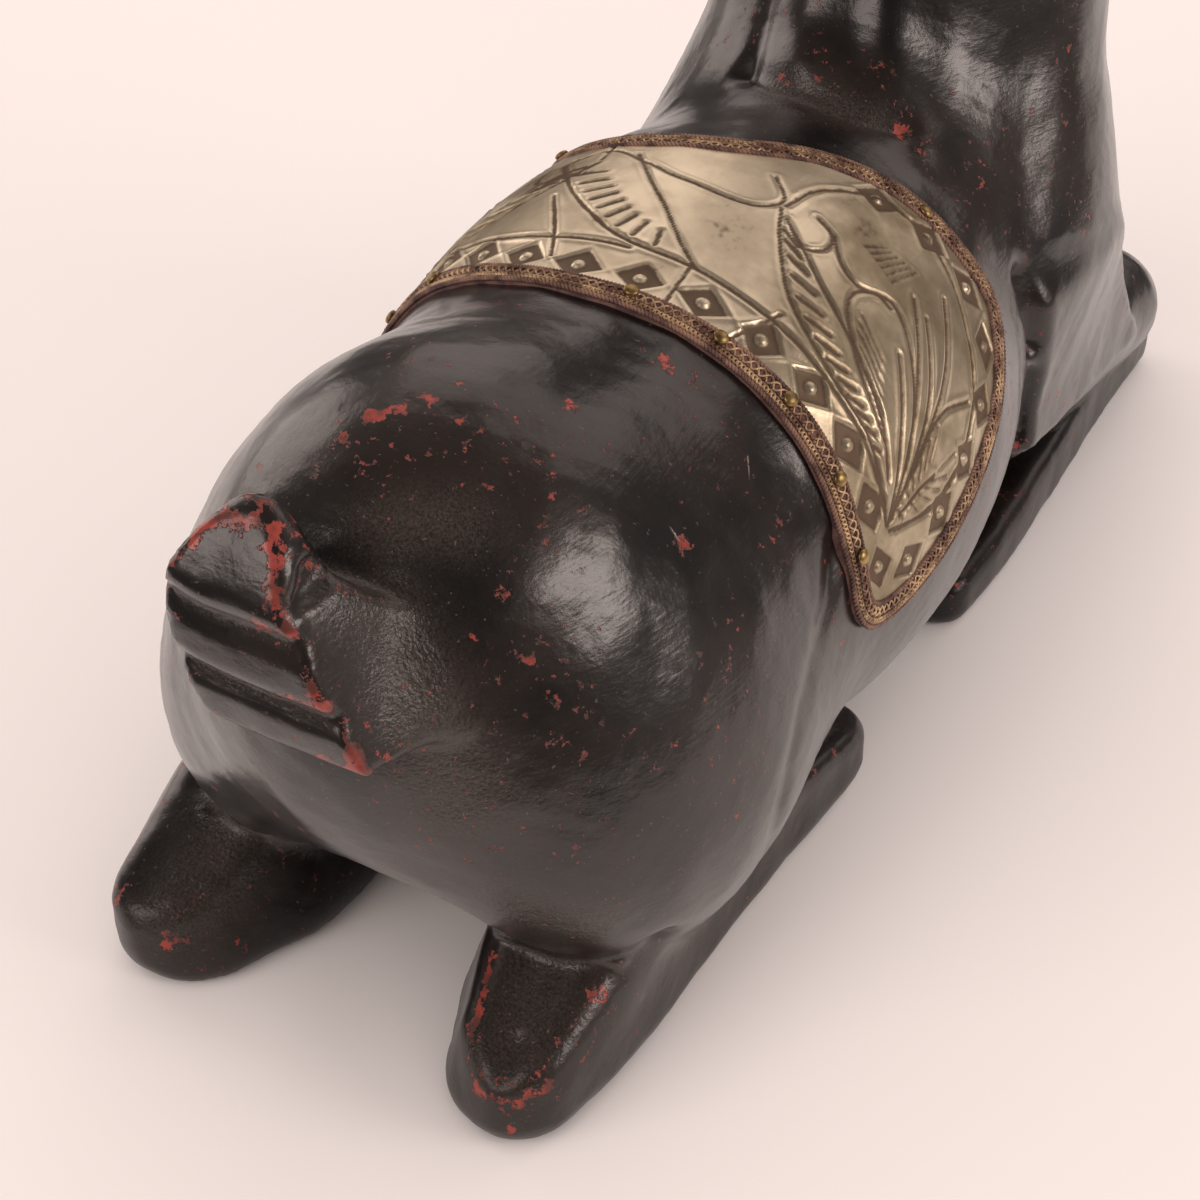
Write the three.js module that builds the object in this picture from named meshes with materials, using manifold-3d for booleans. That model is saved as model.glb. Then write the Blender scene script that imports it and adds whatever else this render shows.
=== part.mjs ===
// A carved and lacquered wooden deer that kneels with its legs folded under it, with a saddle cloth of
// thin embossed white metal over its back, a braid glued round the edge of the cloth and small brass pins.
// Millimetres, +Z up. The deer looks along -Y. The origin is on the ground, under the middle of the deer.
import * as THREE from "three";
import { mergeVertices } from "three/addons/utils/BufferGeometryUtils.js";
import Module from "manifold-3d";

// Driving dimensions. The places are measured from a point on the ground under the middle of the barrel.
const BARREL = { centre: [0, 12, 56.5], radii: [57, 90, 57.5] }; // the trunk under the saddle cloth
const RUMP = { centre: [0.5, 91, 70], radii: [42.8, 47.6, 45.5] };
const HAUNCH = { centre: [31.6, 86.7, 44.6], radii: [23.9, 35.9, 32.8] };
const CHEST = { centre: [0, -67, 62.5], radii: [35.5, 48.5, 51.5] };
const NECK = { base: [0, -72, 78], middle: [0, -84, 128], throat: [0, -100, 170], nape: [0, -108, 205] };
const NECK_RADII = { base: 50, middle: 35, throat: 26, nape: 21 };
const SKULL = { centre: [0, -115, 213], radii: [19, 25, 20] };
const CHEEK = { centre: [7, -124, 204], radii: [11, 18, 15] };
const MUZZLE = { start: [0, -130, 208], end: [0, -161, 198], radii: [14.5, 10.5] };
const EAR = { root: [12, -102, 224], tip: [40, -86, 250], width: 11, thickness: 0.45 };
const ELBOW = [34, -62, 31];
const KNEE = [32, -134, 22];
const ARM_RADII = [10, 14];
const UPPER_ARM = { outer: 48.6, inner: 12, rear: -45, top: 72, edge: 2 }; // its flat outer side
const TAIL = { rear: 146, bottom: 79.5, top: 117.5, crown: 6, edge: 1.3, flare: 0.3 };
const TAIL_FRONT = [
  [134.5, 117],
  [134.2, 111],
  [133.5, 106],
  [130, 101],
  [124, 96],
  [112, 88],
  [100, 79.5],
]; // its front side runs down from the tip and spreads into the rump: [y, z]
const TAIL_ROLLS = [
  [1, 79.5],
  [0.5, 86],
  [1.9, 89.6],
  [0.1, 91.2],
  [0, 97],
  [1.5, 101.3],
  [0.1, 103.2],
  [0.7, 106.5],
  [4.2, 112],
  [8, 117.5],
]; // how far its back stands in from the rear at each height, in three rolls
const TAIL_SIDES = [
  [79.5, -21, 10],
  [86, -18.5, 12],
  [91, -14, 13.7],
  [101, -11, 14.4],
  [107, -8.2, 13.8],
  [112, -6, 12.8],
  [117.5, -4, 12],
]; // [height, x of the right side, x of the left side]
const LEG_SHIFT = { right: 2, left: 7.5 }; // both hind legs lie a little towards the left

// Legs, as stations from rear to front: [y, middle of the width, half width, height]
const HIND_LEG = {
  stations: [
    [139, 35, 8, 15.5],
    [127, 34.5, 10.5, 20.5],
    [112, 33.5, 13.5, 26.5],
    [88, 33.5, 13.5, 26],
    [60, 35.5, 12, 21],
    [36, 39.5, 9.5, 16.5],
    [19, 41, 7, 12],
  ],
  innerLean: 0.35,
  planRound: 10,
  topRound: 4,
  bottomRound: 7,
};
const CANNON = {
  stations: [
    [-24, 38, 6, 11],
    [-50, 37.5, 7.5, 14],
    [-84, 35, 8.5, 16],
    [-120, 33, 8.5, 17],
    [-155, 33, 8, 16],
  ],
  innerLean: 0.2,
  planRound: 7,
  topRound: 4,
  bottomRound: 5,
};

const CLOTH = { lift: 0.5, thickness: 0.7 };
const BRAID = { width: 5.4, height: 1.6, gap: 0.3 };
const PIN = { radius: 1.5, height: 1.1, inset: 3.6 };

const wasm = await Module();
wasm.setup();

// Masses: each tells how far a point is outside it. The carver rounds them into one another.
const clamp = (value, low, high) => Math.min(high, Math.max(low, value));

function egg({ centre, radii }) {
  return (x, y, z) => {
    const [a, b, c] = [(x - centre[0]) / radii[0], (y - centre[1]) / radii[1], (z - centre[2]) / radii[2]];
    const reach = Math.hypot(a, b, c);
    const slope = Math.hypot(a / radii[0], b / radii[1], c / radii[2]);
    return slope < 1e-9 ? -Math.min(...radii) : (reach * (reach - 1)) / slope;
  };
}

function rod(start, end, radiusAt, flatten = [1, 1, 1]) {
  const axis = [0, 1, 2].map((i) => (end[i] - start[i]) / flatten[i]);
  const length2 = axis[0] ** 2 + axis[1] ** 2 + axis[2] ** 2;
  return (x, y, z) => {
    const p = [(x - start[0]) / flatten[0], (y - start[1]) / flatten[1], (z - start[2]) / flatten[2]];
    const share = clamp((p[0] * axis[0] + p[1] * axis[1] + p[2] * axis[2]) / length2, 0, 1);
    const gap = Math.hypot(p[0] - share * axis[0], p[1] - share * axis[1], p[2] - share * axis[2]);
    return gap - radiusAt(share);
  };
}

const taper = (from, to) => (share) => from + (to - from) * share;
const leafWidth = (widest) => (share) => widest * Math.sin(Math.PI * (0.16 + 0.78 * share));

// The rounded edge where several straight cuts meet
function edgeOf(gaps, radius) {
  const outside = gaps.map((gap) => Math.max(gap + radius, 0));
  return Math.min(Math.max(...gaps) + radius, 0) + Math.hypot(...outside) - radius;
}

// Reads the values at y off a list of stations, along a smooth curve through them
function readStations(stations, y) {
  const last = stations.length - 1;
  let i = 0;
  while (i < last - 1 && y < stations[i + 1][0]) i += 1;
  const [from, to] = [stations[i], stations[i + 1]];
  const [before, after] = [stations[Math.max(0, i - 1)], stations[Math.min(last, i + 2)]];
  const step = to[0] - from[0];
  const s = clamp((y - from[0]) / step, 0, 1);
  return from.slice(1).map((value, k) => {
    const slopeFrom = (to[k + 1] - before[k + 1]) / (to[0] - before[0]);
    const slopeTo = (after[k + 1] - value) / (after[0] - from[0]);
    const straight = (2 * s ** 3 - 3 * s ** 2 + 1) * value + (3 * s ** 2 - 2 * s ** 3) * to[k + 1];
    return straight + step * ((s ** 3 - 2 * s ** 2 + s) * slopeFrom + (s ** 3 - s ** 2) * slopeTo);
  });
}

// A folded lower leg that lies along the ground, flat on top and rounded below, and steeper on its inner side
function lowerLeg({ stations, innerLean, planRound, topRound, bottomRound }) {
  return (x, y, z) => {
    const [middle, half, height] = readStations(stations, y);
    const inner = (middle - half - x - innerLean * (height - z)) / Math.hypot(1, innerLean);
    const outer = x - middle - half;
    const plan = edgeOf([inner, outer, y - stations[0][0], stations.at(-1)[0] - y], planRound);
    return edgeOf([edgeOf([plan, z - height], topRound), -0.8 - z], bottomRound);
  };
}

// The outer side of the arm is flat, and it ends in a sharp edge over the folded lower leg
function upperArm({ outer, inner, rear, top, edge }) {
  return (x, y, z) => {
    const low = 35.4 + 0.09 * (y + 44) - z;
    const front = (-88 - 0.7 * (66 - z) - y) / 1.22;
    return edgeOf([x - outer, inner - x, low, y - rear, front, z - top], edge);
  };
}
const legSide = (mass) => (x, y, z) => mass(x > 0 ? x - LEG_SHIFT.left : -x + LEG_SHIFT.right, y, z);

function blend(a, b, softness) {
  const share = clamp(0.5 + (0.5 * (b - a)) / softness, 0, 1);
  return b + (a - b) * share - softness * share * (1 - share);
}

// Rounds a list of [mass, softness] into one form. The softness is that of the join with what comes before.
function formOf(masses) {
  return (x, y, z) => {
    let gap = masses[0][0](x, y, z);
    for (const [mass, softness] of masses.slice(1)) gap = blend(gap, mass(x, y, z), softness);
    return gap;
  };
}
const both = (mass) => (x, y, z) => mass(Math.abs(x), y, z);

const trunkMasses = [
  [egg(BARREL), 0],
  [egg(RUMP), 18],
  [both(egg(HAUNCH)), 23],
  [egg(CHEST), 18],
];
const neckMasses = [
  [rod(NECK.base, NECK.middle, taper(NECK_RADII.base, NECK_RADII.middle)), 20],
  [rod(NECK.middle, NECK.throat, taper(NECK_RADII.middle, NECK_RADII.throat)), 14],
  [rod(NECK.throat, NECK.nape, taper(NECK_RADII.throat, NECK_RADII.nape)), 14],
];
const headMasses = [
  [egg(SKULL), 10],
  [both(egg(CHEEK)), 8],
  [rod(MUZZLE.start, MUZZLE.end, taper(...MUZZLE.radii)), 12],
];
const earMasses = [[both(rod(EAR.root, EAR.tip, leafWidth(EAR.width), [1, EAR.thickness, 1])), 4]];
const legMasses = [
  [both(rod(ELBOW, KNEE, taper(...ARM_RADII))), 10],
  [both(upperArm(UPPER_ARM)), 8],
  [legSide(lowerLeg(HIND_LEG)), 3],
  [both(lowerLeg(CANNON)), 2],
];

const trunk = formOf([...trunkMasses, ...neckMasses]);
const deer = formOf([...trunkMasses, ...neckMasses, ...headMasses, ...earMasses, ...legMasses]);

// How far a straight line runs inside a form
function depthAlong(form, from, direction, reach) {
  const p = new THREE.Vector3();
  const gapAt = (t) => {
    p.copy(from).addScaledVector(direction, t);
    return form(p.x, p.y, p.z);
  };
  let t = 0;
  let gap = gapAt(0);
  while (t < reach && gap < 0) {
    t += Math.max(0.4, -gap * 0.7);
    gap = gapAt(t);
  }
  if (t >= reach) return reach;
  let [low, high] = [Math.max(0, t - 10), t];
  for (let i = 0; i < 20; i += 1) {
    const middle = (low + high) / 2;
    if (gapAt(middle) < 0) low = middle;
    else high = middle;
  }
  return low;
}

// A skin over a form: rays go out from stations on a line through it, and fan out round both ends.
// The inset sinks a skin below the surface, so that it ends cleanly under the skin that it joins.
function skin(form, points, { stations, around, reach, fan = 3, turn = 0, rootReach = reach, inset }) {
  const line = new THREE.CatmullRomCurve3(points.map((p) => new THREE.Vector3(...p)));
  const positions = [];
  const rows = [];
  const addPoint = (from, direction, share) => {
    const sunk = inset ? (x, y, z) => form(x, y, z) + inset(share) : form;
    const limit = share < 0 ? rootReach : reach;
    const p = from.clone().addScaledVector(direction, depthAlong(sunk, from, direction, limit));
    return positions.push(p.x, p.y, p.z) / 3 - 1;
  };
  const addRing = (centre, tangent, tilt, share) => {
    const sideways = new THREE.Vector3(1, 0, 0).addScaledVector(tangent, -tangent.x).normalize();
    const upward = new THREE.Vector3().crossVectors(tangent, sideways);
    const row = [];
    for (let k = 0; k < around; k += 1) {
      const angle = (2 * Math.PI * (k + turn)) / around;
      const direction = sideways.clone().multiplyScalar(Math.cos(angle) * Math.cos(tilt));
      direction.addScaledVector(upward, Math.sin(angle) * Math.cos(tilt));
      row.push(addPoint(centre, direction.addScaledVector(tangent, Math.sin(tilt)), share));
    }
    rows.push(row);
  };
  const [start, end] = [line.getPointAt(0), line.getPointAt(1)];
  const [startTangent, endTangent] = [line.getTangentAt(0), line.getTangentAt(1)];
  const firstPole = addPoint(start, startTangent.clone().negate(), -1);
  for (let k = 1; k < fan; k += 1) addRing(start, startTangent, (-Math.PI / 2) * (1 - k / fan), -1);
  for (let k = 0; k <= stations; k += 1) {
    const share = k / stations;
    addRing(line.getPointAt(share), line.getTangentAt(share), 0, share);
  }
  for (let k = 1; k < fan; k += 1) addRing(end, endTangent, (Math.PI / 2) * (k / fan), 1);
  const lastPole = addPoint(end, endTangent, 1);
  const faces = [];
  for (let k = 0; k < around; k += 1) {
    const next = (k + 1) % around;
    faces.push(firstPole, rows[0][next], rows[0][k]);
    for (let r = 0; r + 1 < rows.length; r += 1) {
      faces.push(rows[r][k], rows[r][next], rows[r + 1][next]);
      faces.push(rows[r][k], rows[r + 1][next], rows[r + 1][k]);
    }
    faces.push(lastPole, rows.at(-1)[k], rows.at(-1)[next]);
  }
  return geometryFrom(positions, faces);
}

function geometryFrom(positions, faces) {
  const geometry = new THREE.BufferGeometry();
  geometry.setAttribute("position", new THREE.Float32BufferAttribute(positions, 3));
  geometry.setIndex(faces);
  return geometry;
}

function solidOf(geometry) {
  const merged = mergeVertices(geometry, 1e-4);
  return new wasm.Manifold(
    new wasm.Mesh({
      numProp: 3,
      vertProperties: merged.attributes.position.array,
      triVerts: new Uint32Array(merged.index.array),
    }),
  );
}

function geometryOf(solid) {
  const mesh = solid.getMesh();
  return geometryFrom([...mesh.vertProperties], [...mesh.triVerts]);
}

// Reads the values at a height off a table, along straight lines between its rows
function readTable(table, at) {
  let i = 0;
  while (i < table.length - 2 && at > table[i + 1][0]) i += 1;
  const share = clamp((at - table[i][0]) / (table[i + 1][0] - table[i][0]), 0, 1);
  return table[i].slice(1).map((value, k) => value + share * (table[i + 1][k + 1] - value));
}

// The tail stands against the rump, and its back is carved in three rolls that overlap like shingles.
// Its side profile is extruded across the deer, and then its two sides are drawn in to their places.
function makeTail() {
  const profile = [...TAIL_ROLLS.map(([depth, z]) => [TAIL.rear - depth, z]), ...TAIL_FRONT];
  const shape = new THREE.Shape(profile.map(([y, z]) => new THREE.Vector2(y, z)));
  const width = 20;
  const tail = new THREE.ExtrudeGeometry(shape, {
    depth: width,
    steps: 5,
    bevelThickness: TAIL.edge,
    bevelSize: TAIL.edge,
    bevelOffset: -TAIL.edge,
    bevelSegments: 1,
  });
  tail.deleteAttribute("normal").deleteAttribute("uv");
  const places = tail.attributes.position;
  for (let i = 0; i < places.count; i += 1) {
    const [y, z] = [places.getX(i), places.getY(i)];
    const across = (places.getZ(i) - width / 2) / (width / 2 + TAIL.edge);
    const [right, left] = readTable(TAIL_SIDES, z);
    const spread = TAIL.flare * clamp(TAIL.rear - 4 - y, 0, 14) * clamp((112 - z) / 12, 0, 1);
    const x = THREE.MathUtils.lerp(right - spread, left, (across + 1) / 2);
    const share = (z - TAIL.bottom) / (TAIL.top - TAIL.bottom);
    places.setXYZ(i, x, y, z - TAIL.crown * across ** 2 * share);
  }
  return tail;
}

// The deer, carved from one block: the skins of its masses are joined, and its underside is sawn flat
function makeDeer() {
  const inset = () => 0.3;
  const pair = (points, settings, shift = { left: 0, right: 0 }) =>
    [1, -1].map((side) =>
      skin(
        deer,
        points.map(([x, y, z]) => [x * side + (side > 0 ? shift.left : shift.right), y, z]),
        { inset, ...settings },
      ),
    );
  const skins = [
    skin(trunk, [[0, 88, 60], [0, 40, 56], [0, -74, 58]], { stations: 20, around: 28, reach: 60, fan: 5 }),
    skin(deer, [[0, -74, 84], [0, -78, 104], [0, -90, 150], [0, -106, 204]], {
      stations: 12,
      around: 24,
      reach: 60,
      rootReach: 30,
      inset: (share) => 0.6 * Math.max(0, 1 - 4 * Math.max(0, share)),
    }),
    skin(deer, [[0, -106, 207], [0, -130, 207], [0, -157, 200]], {
      stations: 11,
      around: 16,
      reach: 32,
      inset,
    }),
    makeTail(),
    ...pair([EAR.root, EAR.tip], { stations: 7, around: 8, reach: 15 }),
    ...pair(
      [[34.5, 127, 9], [33.5, 100, 11], [36, 50, 8], [40.5, 29, 6]],
      { stations: 9, around: 12, reach: 22, turn: 0.5 },
      LEG_SHIFT,
    ),
    ...pair([[38, -32, 5.5], [34, -90, 8], [33, -147, 7]], {
      stations: 6,
      around: 10,
      reach: 13,
      turn: 0.5,
    }),
    ...pair([ELBOW, KNEE], { stations: 7, around: 10, reach: 22 }),
    ...pair([[34, -54, 48], [34, -94, 46]], { stations: 5, around: 12, reach: 22, turn: 0.5 }),
  ];
  const joined = skins.map(solidOf).reduce((whole, piece) => whole.add(piece));
  const ground = new THREE.BoxGeometry(600, 600, 100).deleteAttribute("normal").deleteAttribute("uv");
  ground.translate(0, 0, -50);
  return geometryOf(joined.subtract(solidOf(ground)));
}

// Places on the body under the cloth. A place is an angle round the barrel, 0 on the spine and 90 on the
// right flank, and a y. The lift is measured outwards from the wood.
const AXIS_HEIGHT = BARREL.centre[2];
function onBody(angleDeg, y, lift) {
  const angle = THREE.MathUtils.degToRad(angleDeg);
  const from = new THREE.Vector3(0, y, AXIS_HEIGHT);
  const outward = new THREE.Vector3(-Math.sin(angle), 0, Math.cos(angle));
  const p = from.clone().addScaledVector(outward, depthAlong(deer, from, outward, 80));
  const step = 0.5;
  const normal = new THREE.Vector3(
    deer(p.x + step, p.y, p.z) - deer(p.x - step, p.y, p.z),
    deer(p.x, p.y + step, p.z) - deer(p.x, p.y - step, p.z),
    deer(p.x, p.y, p.z + step) - deer(p.x, p.y, p.z - step),
  ).normalize();
  return p.addScaledVector(normal, lift);
}

// Outline of the cloth with its braid, as [angle, y of the rear edge, y of the front edge]
const OUTLINE = [
  [-93.5, 36, 36],
  [-91, 44.5, 27],
  [-85, 48, 13],
  [-74, 48, -4],
  [-59, 47.5, -13],
  [-44, 48.5, -9],
  [-29, 52, 0],
  [-14, 55, 2],
  [0, 55.5, 0],
  [15, 53.5, -9],
  [30, 51.5, -16],
  [45, 50.3, -18.5],
  [60, 50.5, -19],
  [75, 52, -6],
  [86, 52, 14],
  [91.5, 48, 28],
  [93.8, 39, 39],
];
const DEGREE = (Math.PI / 180) * 55; // millimetres of cloth for one degree round the barrel

// The outline as one closed curve on the flat cloth: along the rear edge, then back along the front edge
const outlineCurve = new THREE.CatmullRomCurve3(
  [
    ...OUTLINE.map(([angle, rear]) => new THREE.Vector3(angle * DEGREE, rear, 0)),
    ...OUTLINE.slice(1, -1)
      .reverse()
      .map(([angle, , front]) => new THREE.Vector3(angle * DEGREE, front, 0)),
  ],
  true,
);
const TIP = 0.5; // share of the curve from one tip of the cloth to the other

// A point of the outline, moved inwards on the flat cloth
function inset(share, distance) {
  const place = outlineCurve.getPoint((share + 1) % 1);
  const tangent = outlineCurve.getTangent((share + 1) % 1);
  return new THREE.Vector2(place.x + tangent.y * distance, place.y - tangent.x * distance);
}

// The cloth of thin metal: a ruled sheet from its rear edge to its front edge, from tip to tip
function makeCloth() {
  const [along, across] = [36, 7];
  const positions = [];
  const faces = [];
  const edgeInset = BRAID.width + BRAID.gap;
  for (const lift of [CLOTH.lift, CLOTH.lift + CLOTH.thickness])
    for (let i = 0; i <= along; i += 1) {
      const rear = inset((TIP * i) / along, edgeInset);
      const front = inset(1 - (TIP * i) / along, edgeInset);
      for (let k = 0; k <= across; k += 1) {
        const place = rear.clone().lerp(front, k / across);
        positions.push(...onBody(place.x / DEGREE, place.y, lift));
      }
    }
  const row = across + 1;
  const sheet = row * (along + 1);
  for (let i = 0; i < along; i += 1)
    for (let k = 0; k < across; k += 1) {
      const [a, b, c, d] = [i * row + k, i * row + k + 1, (i + 1) * row + k + 1, (i + 1) * row + k];
      faces.push(a, b, c, a, c, d);
      faces.push(sheet + a, sheet + c, sheet + b, sheet + a, sheet + d, sheet + c);
    }
  const rim = [];
  for (let i = 0; i < along; i += 1) rim.push(i * row);
  for (let k = 0; k < across; k += 1) rim.push(along * row + k);
  for (let i = along; i > 0; i -= 1) rim.push(i * row + across);
  for (let k = across; k > 0; k -= 1) rim.push(k);
  rim.forEach((a, i) => {
    const b = rim[(i + 1) % rim.length];
    faces.push(a, b, b + sheet, a, b + sheet, a + sheet);
  });
  return geometryOf(solidOf(geometryFrom(positions, faces)));
}

// The braid: a flat band with rounded edges, glued round the edge of the cloth
function makeBraid() {
  const steps = 60;
  const section = [
    [0, 0],
    [0.1, 0.8],
    [0.35, 1],
    [0.65, 1],
    [0.9, 0.8],
    [1, 0],
  ]; // shares of the width and of the height
  const positions = [];
  const faces = [];
  for (let i = 0; i < steps; i += 1)
    for (const [width, height] of section) {
      const place = inset(i / steps, width * BRAID.width);
      positions.push(...onBody(place.x / DEGREE, place.y, CLOTH.lift + height * BRAID.height));
    }
  const row = section.length;
  for (let i = 0; i < steps; i += 1)
    for (let k = 0; k < row; k += 1) {
      const [a, b] = [i * row + k, i * row + ((k + 1) % row)];
      const [d, c] = [((i + 1) % steps) * row + k, ((i + 1) % steps) * row + ((k + 1) % row)];
      faces.push(a, c, b, a, d, c);
    }
  return geometryOf(solidOf(geometryFrom(positions, faces)));
}

// Round-headed pins on the braid, as shares of the outline
const PIN_PLACES = [0.095, 0.13, 0.165, 0.271, 0.307, 0.34, 0.374, 0.406, 0.675, 0.83];
function makePin(share) {
  const domeSteps = 2;
  const profile = [new THREE.Vector2(0, 0), new THREE.Vector2(PIN.radius, 0)];
  for (let i = 1; i <= domeSteps; i += 1) {
    const angle = (Math.PI / 2) * (i / domeSteps);
    profile.push(new THREE.Vector2(PIN.radius * Math.cos(angle), PIN.height * Math.sin(angle)));
  }
  profile.at(-1).x = 0;
  const head = new THREE.LatheGeometry(profile, 8).deleteAttribute("normal").deleteAttribute("uv");
  const place = inset(share, PIN.inset);
  const foot = onBody(place.x / DEGREE, place.y, CLOTH.lift + BRAID.height + BRAID.gap);
  const above = onBody(place.x / DEGREE, place.y, CLOTH.lift + BRAID.height + 5);
  const turn = new THREE.Quaternion().setFromUnitVectors(
    new THREE.Vector3(0, 1, 0),
    above.sub(foot).normalize(),
  );
  head.applyQuaternion(turn);
  head.translate(foot.x, foot.y, foot.z);
  return mergeVertices(head, 1e-4);
}

const lacquer = new THREE.MeshStandardMaterial({ color: 0x1c1714, roughness: 0.4, metalness: 0 });
const whiteMetal = new THREE.MeshStandardMaterial({ color: 0x9d9681, roughness: 0.45, metalness: 0.9 });
const galloon = new THREE.MeshStandardMaterial({ color: 0x5e4636, roughness: 0.8, metalness: 0.1 });
const brass = new THREE.MeshStandardMaterial({ color: 0x9a7b3c, roughness: 0.4, metalness: 0.9 });

const figurine = new THREE.Group();
const carving = new THREE.Group();
figurine.add(carving);

function addPiece(name, geometry, material) {
  const piece = new THREE.Mesh(geometry, material);
  piece.name = name;
  carving.add(piece);
}

addPiece("deer_body", makeDeer(), lacquer);
addPiece("saddle_cloth", makeCloth(), whiteMetal);
addPiece("saddle_braid", makeBraid(), galloon);
PIN_PLACES.forEach((share, i) => addPiece(`brass_pin_${i + 1}`, makePin(share), brass));

// The origin moves under the middle of the whole deer
const box = new THREE.Box3().setFromObject(carving);
const middle = box.getCenter(new THREE.Vector3());
carving.position.set(-middle.x, -middle.y, 0);

export default figurine;
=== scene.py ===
# %% [markdown]
# # A carved wooden deer with a saddle cloth of embossed metal
# This lesson builds the looks of one small figurine in Blender. Its pieces already exist as plain solids
# in a frame that is loaded first. Here each solid gets its carved relief, its worn lacquer or its
# tarnished metal, and then a floor, a camera and soft lights. All lengths are in metres, but the
# carver's own numbers are in millimetres, because a figurine is measured in millimetres.

import bmesh
import bpy
import numpy as np
from mathutils import Matrix, Vector


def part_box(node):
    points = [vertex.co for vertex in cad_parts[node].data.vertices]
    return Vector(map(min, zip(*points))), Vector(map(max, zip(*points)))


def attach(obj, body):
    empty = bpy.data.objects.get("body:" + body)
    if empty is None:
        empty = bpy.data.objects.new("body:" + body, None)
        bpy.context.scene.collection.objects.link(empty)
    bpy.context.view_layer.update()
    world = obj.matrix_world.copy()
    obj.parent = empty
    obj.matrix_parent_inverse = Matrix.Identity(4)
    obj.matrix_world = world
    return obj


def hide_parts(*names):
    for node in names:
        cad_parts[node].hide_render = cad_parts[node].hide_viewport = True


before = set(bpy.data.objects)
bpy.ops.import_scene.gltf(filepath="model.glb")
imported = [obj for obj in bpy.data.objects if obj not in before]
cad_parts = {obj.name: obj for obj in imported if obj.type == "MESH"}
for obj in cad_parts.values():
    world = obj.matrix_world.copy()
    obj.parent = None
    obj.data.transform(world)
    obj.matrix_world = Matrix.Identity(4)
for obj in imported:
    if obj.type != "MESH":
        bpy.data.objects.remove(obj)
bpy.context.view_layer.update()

# %% [markdown]
# ## Two rulers
# The carver measures in millimetres from a point on the ground under the middle of the barrel, and the
# frame measures in metres from the middle of the whole deer. The tail is the rearmost thing on both, so
# it tells how far the two rulers are apart.

# %% From the carver's millimetres to metres and back
MM = 0.001
TAIL_REAR = 146.0
CARVER_ORIGIN = np.array([0.0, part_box("deer_body")[1].y / MM - TAIL_REAR, 0.0])


def to_frame(places):
    return (np.asarray(places, float) + CARVER_ORIGIN) * MM


def to_carver(points):
    return np.asarray(points, float) / MM - CARVER_ORIGIN


def points_of(mesh):
    flat = np.empty(len(mesh.vertices) * 3, np.float32)
    mesh.vertices.foreach_get("co", flat)
    return flat.reshape(-1, 3).astype(float)


def move_points(mesh, points):
    mesh.vertices.foreach_set("co", np.asarray(points, np.float32).ravel())
    mesh.update()


def ramp(values, low, high):
    return np.clip((values - low) / (high - low), 0, 1)


def unit(vectors):
    return vectors / np.maximum(np.linalg.norm(vectors, axis=-1, keepdims=True), 1e-12)


# %% [markdown]
# ## The block of wood as a form
# A carver sees a deer as a few round masses that run into one another: a barrel, a rump, two haunches, a
# chest and a neck. Each mass below is a function that tells how far a point is outside it, in
# millimetres, and a soft minimum rounds two of them together. The surface of the wood is where the
# joined function is zero. Sculpting by hand would look the same, but a function can be asked again
# later, when the cloth has to lie on the wood.


# %% Masses and how they are rounded together
def egg(points, centre, radii):
    scaled = (points - centre) / radii
    reach = np.linalg.norm(scaled, axis=1)
    slope = np.linalg.norm(scaled / radii, axis=1)
    return reach * (reach - 1) / np.maximum(slope, 1e-9)


def rod(points, start, end, radius_at, flatten=(1, 1, 1)):
    start, end, flatten = np.array(start, float), np.array(end, float), np.array(flatten, float)
    axis = (end - start) / flatten
    reach = (points - start) / flatten
    share = np.clip(reach @ axis / (axis @ axis), 0, 1)
    return np.linalg.norm(reach - share[:, None] * axis, axis=1) - radius_at(share)


def taper(start, end):
    return lambda share: start + (end - start) * share


def blend(a, b, softness):
    share = np.clip(0.5 + 0.5 * (b - a) / softness, 0, 1)
    return b + (a - b) * share - softness * share * (1 - share)


def cut_away(body, tool, softness):
    return -blend(-body, tool, softness)


def edge_of(gaps, radius):
    """The rounded edge where several straight cuts meet."""
    gaps = np.array(gaps)
    outside = np.linalg.norm(np.maximum(gaps + radius, 0), axis=0)
    return np.minimum(gaps.max(axis=0) + radius, 0) + outside - radius


def both_sides(points):
    return np.abs(points * [1, 0, 0]) + points * [0, 1, 1]


# %% [markdown]
# The folded lower legs lie flat along the ground. They are cut straight on top, so they are written as
# widths and heights at a few stations along the leg, with a smooth curve through them.

# %% A folded lower leg
HIND_LEG = [
    (19, 41, 7, 12),
    (36, 39.5, 9.5, 16.5),
    (60, 35.5, 12, 21),
    (88, 33.5, 13.5, 26),
    (112, 33.5, 13.5, 26.5),
    (127, 34.5, 10.5, 20.5),
    (139, 35, 8, 15.5),
]  # from front to rear: y, middle, half width, height
CANNON = [(-155, 33, 8, 16), (-120, 33, 8.5, 17), (-84, 35, 8.5, 16), (-50, 37.5, 7.5, 14), (-24, 38, 6, 11)]
RIGHT_LEG_SHIFT = 2.0
LEFT_LEG_SHIFT = 7.5
HOCK_BEVEL = np.array([0.75, 0.3, 0.58])  # the slanted outer edge of the hock faces this way
HOCK_BEVEL_REACH = 81.3


def read_stations(stations, y):
    table = np.array(stations, float)
    last = len(table) - 1
    before, after = np.maximum(np.arange(last + 1) - 1, 0), np.minimum(np.arange(last + 1) + 1, last)
    slopes = (table[after, 1:] - table[before, 1:]) / (table[after, :1] - table[before, :1])
    at = np.clip(np.searchsorted(table[:, 0], y) - 1, 0, last - 1)
    step = (table[at + 1, 0] - table[at, 0])[:, None]
    s = np.clip((y - table[at, 0])[:, None] / step, 0, 1)
    ends = (2 * s**3 - 3 * s**2 + 1) * table[at, 1:] + (3 * s**2 - 2 * s**3) * table[at + 1, 1:]
    return (ends + step * ((s**3 - 2 * s**2 + s) * slopes[at] + (s**3 - s**2) * slopes[at + 1])).T


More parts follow.
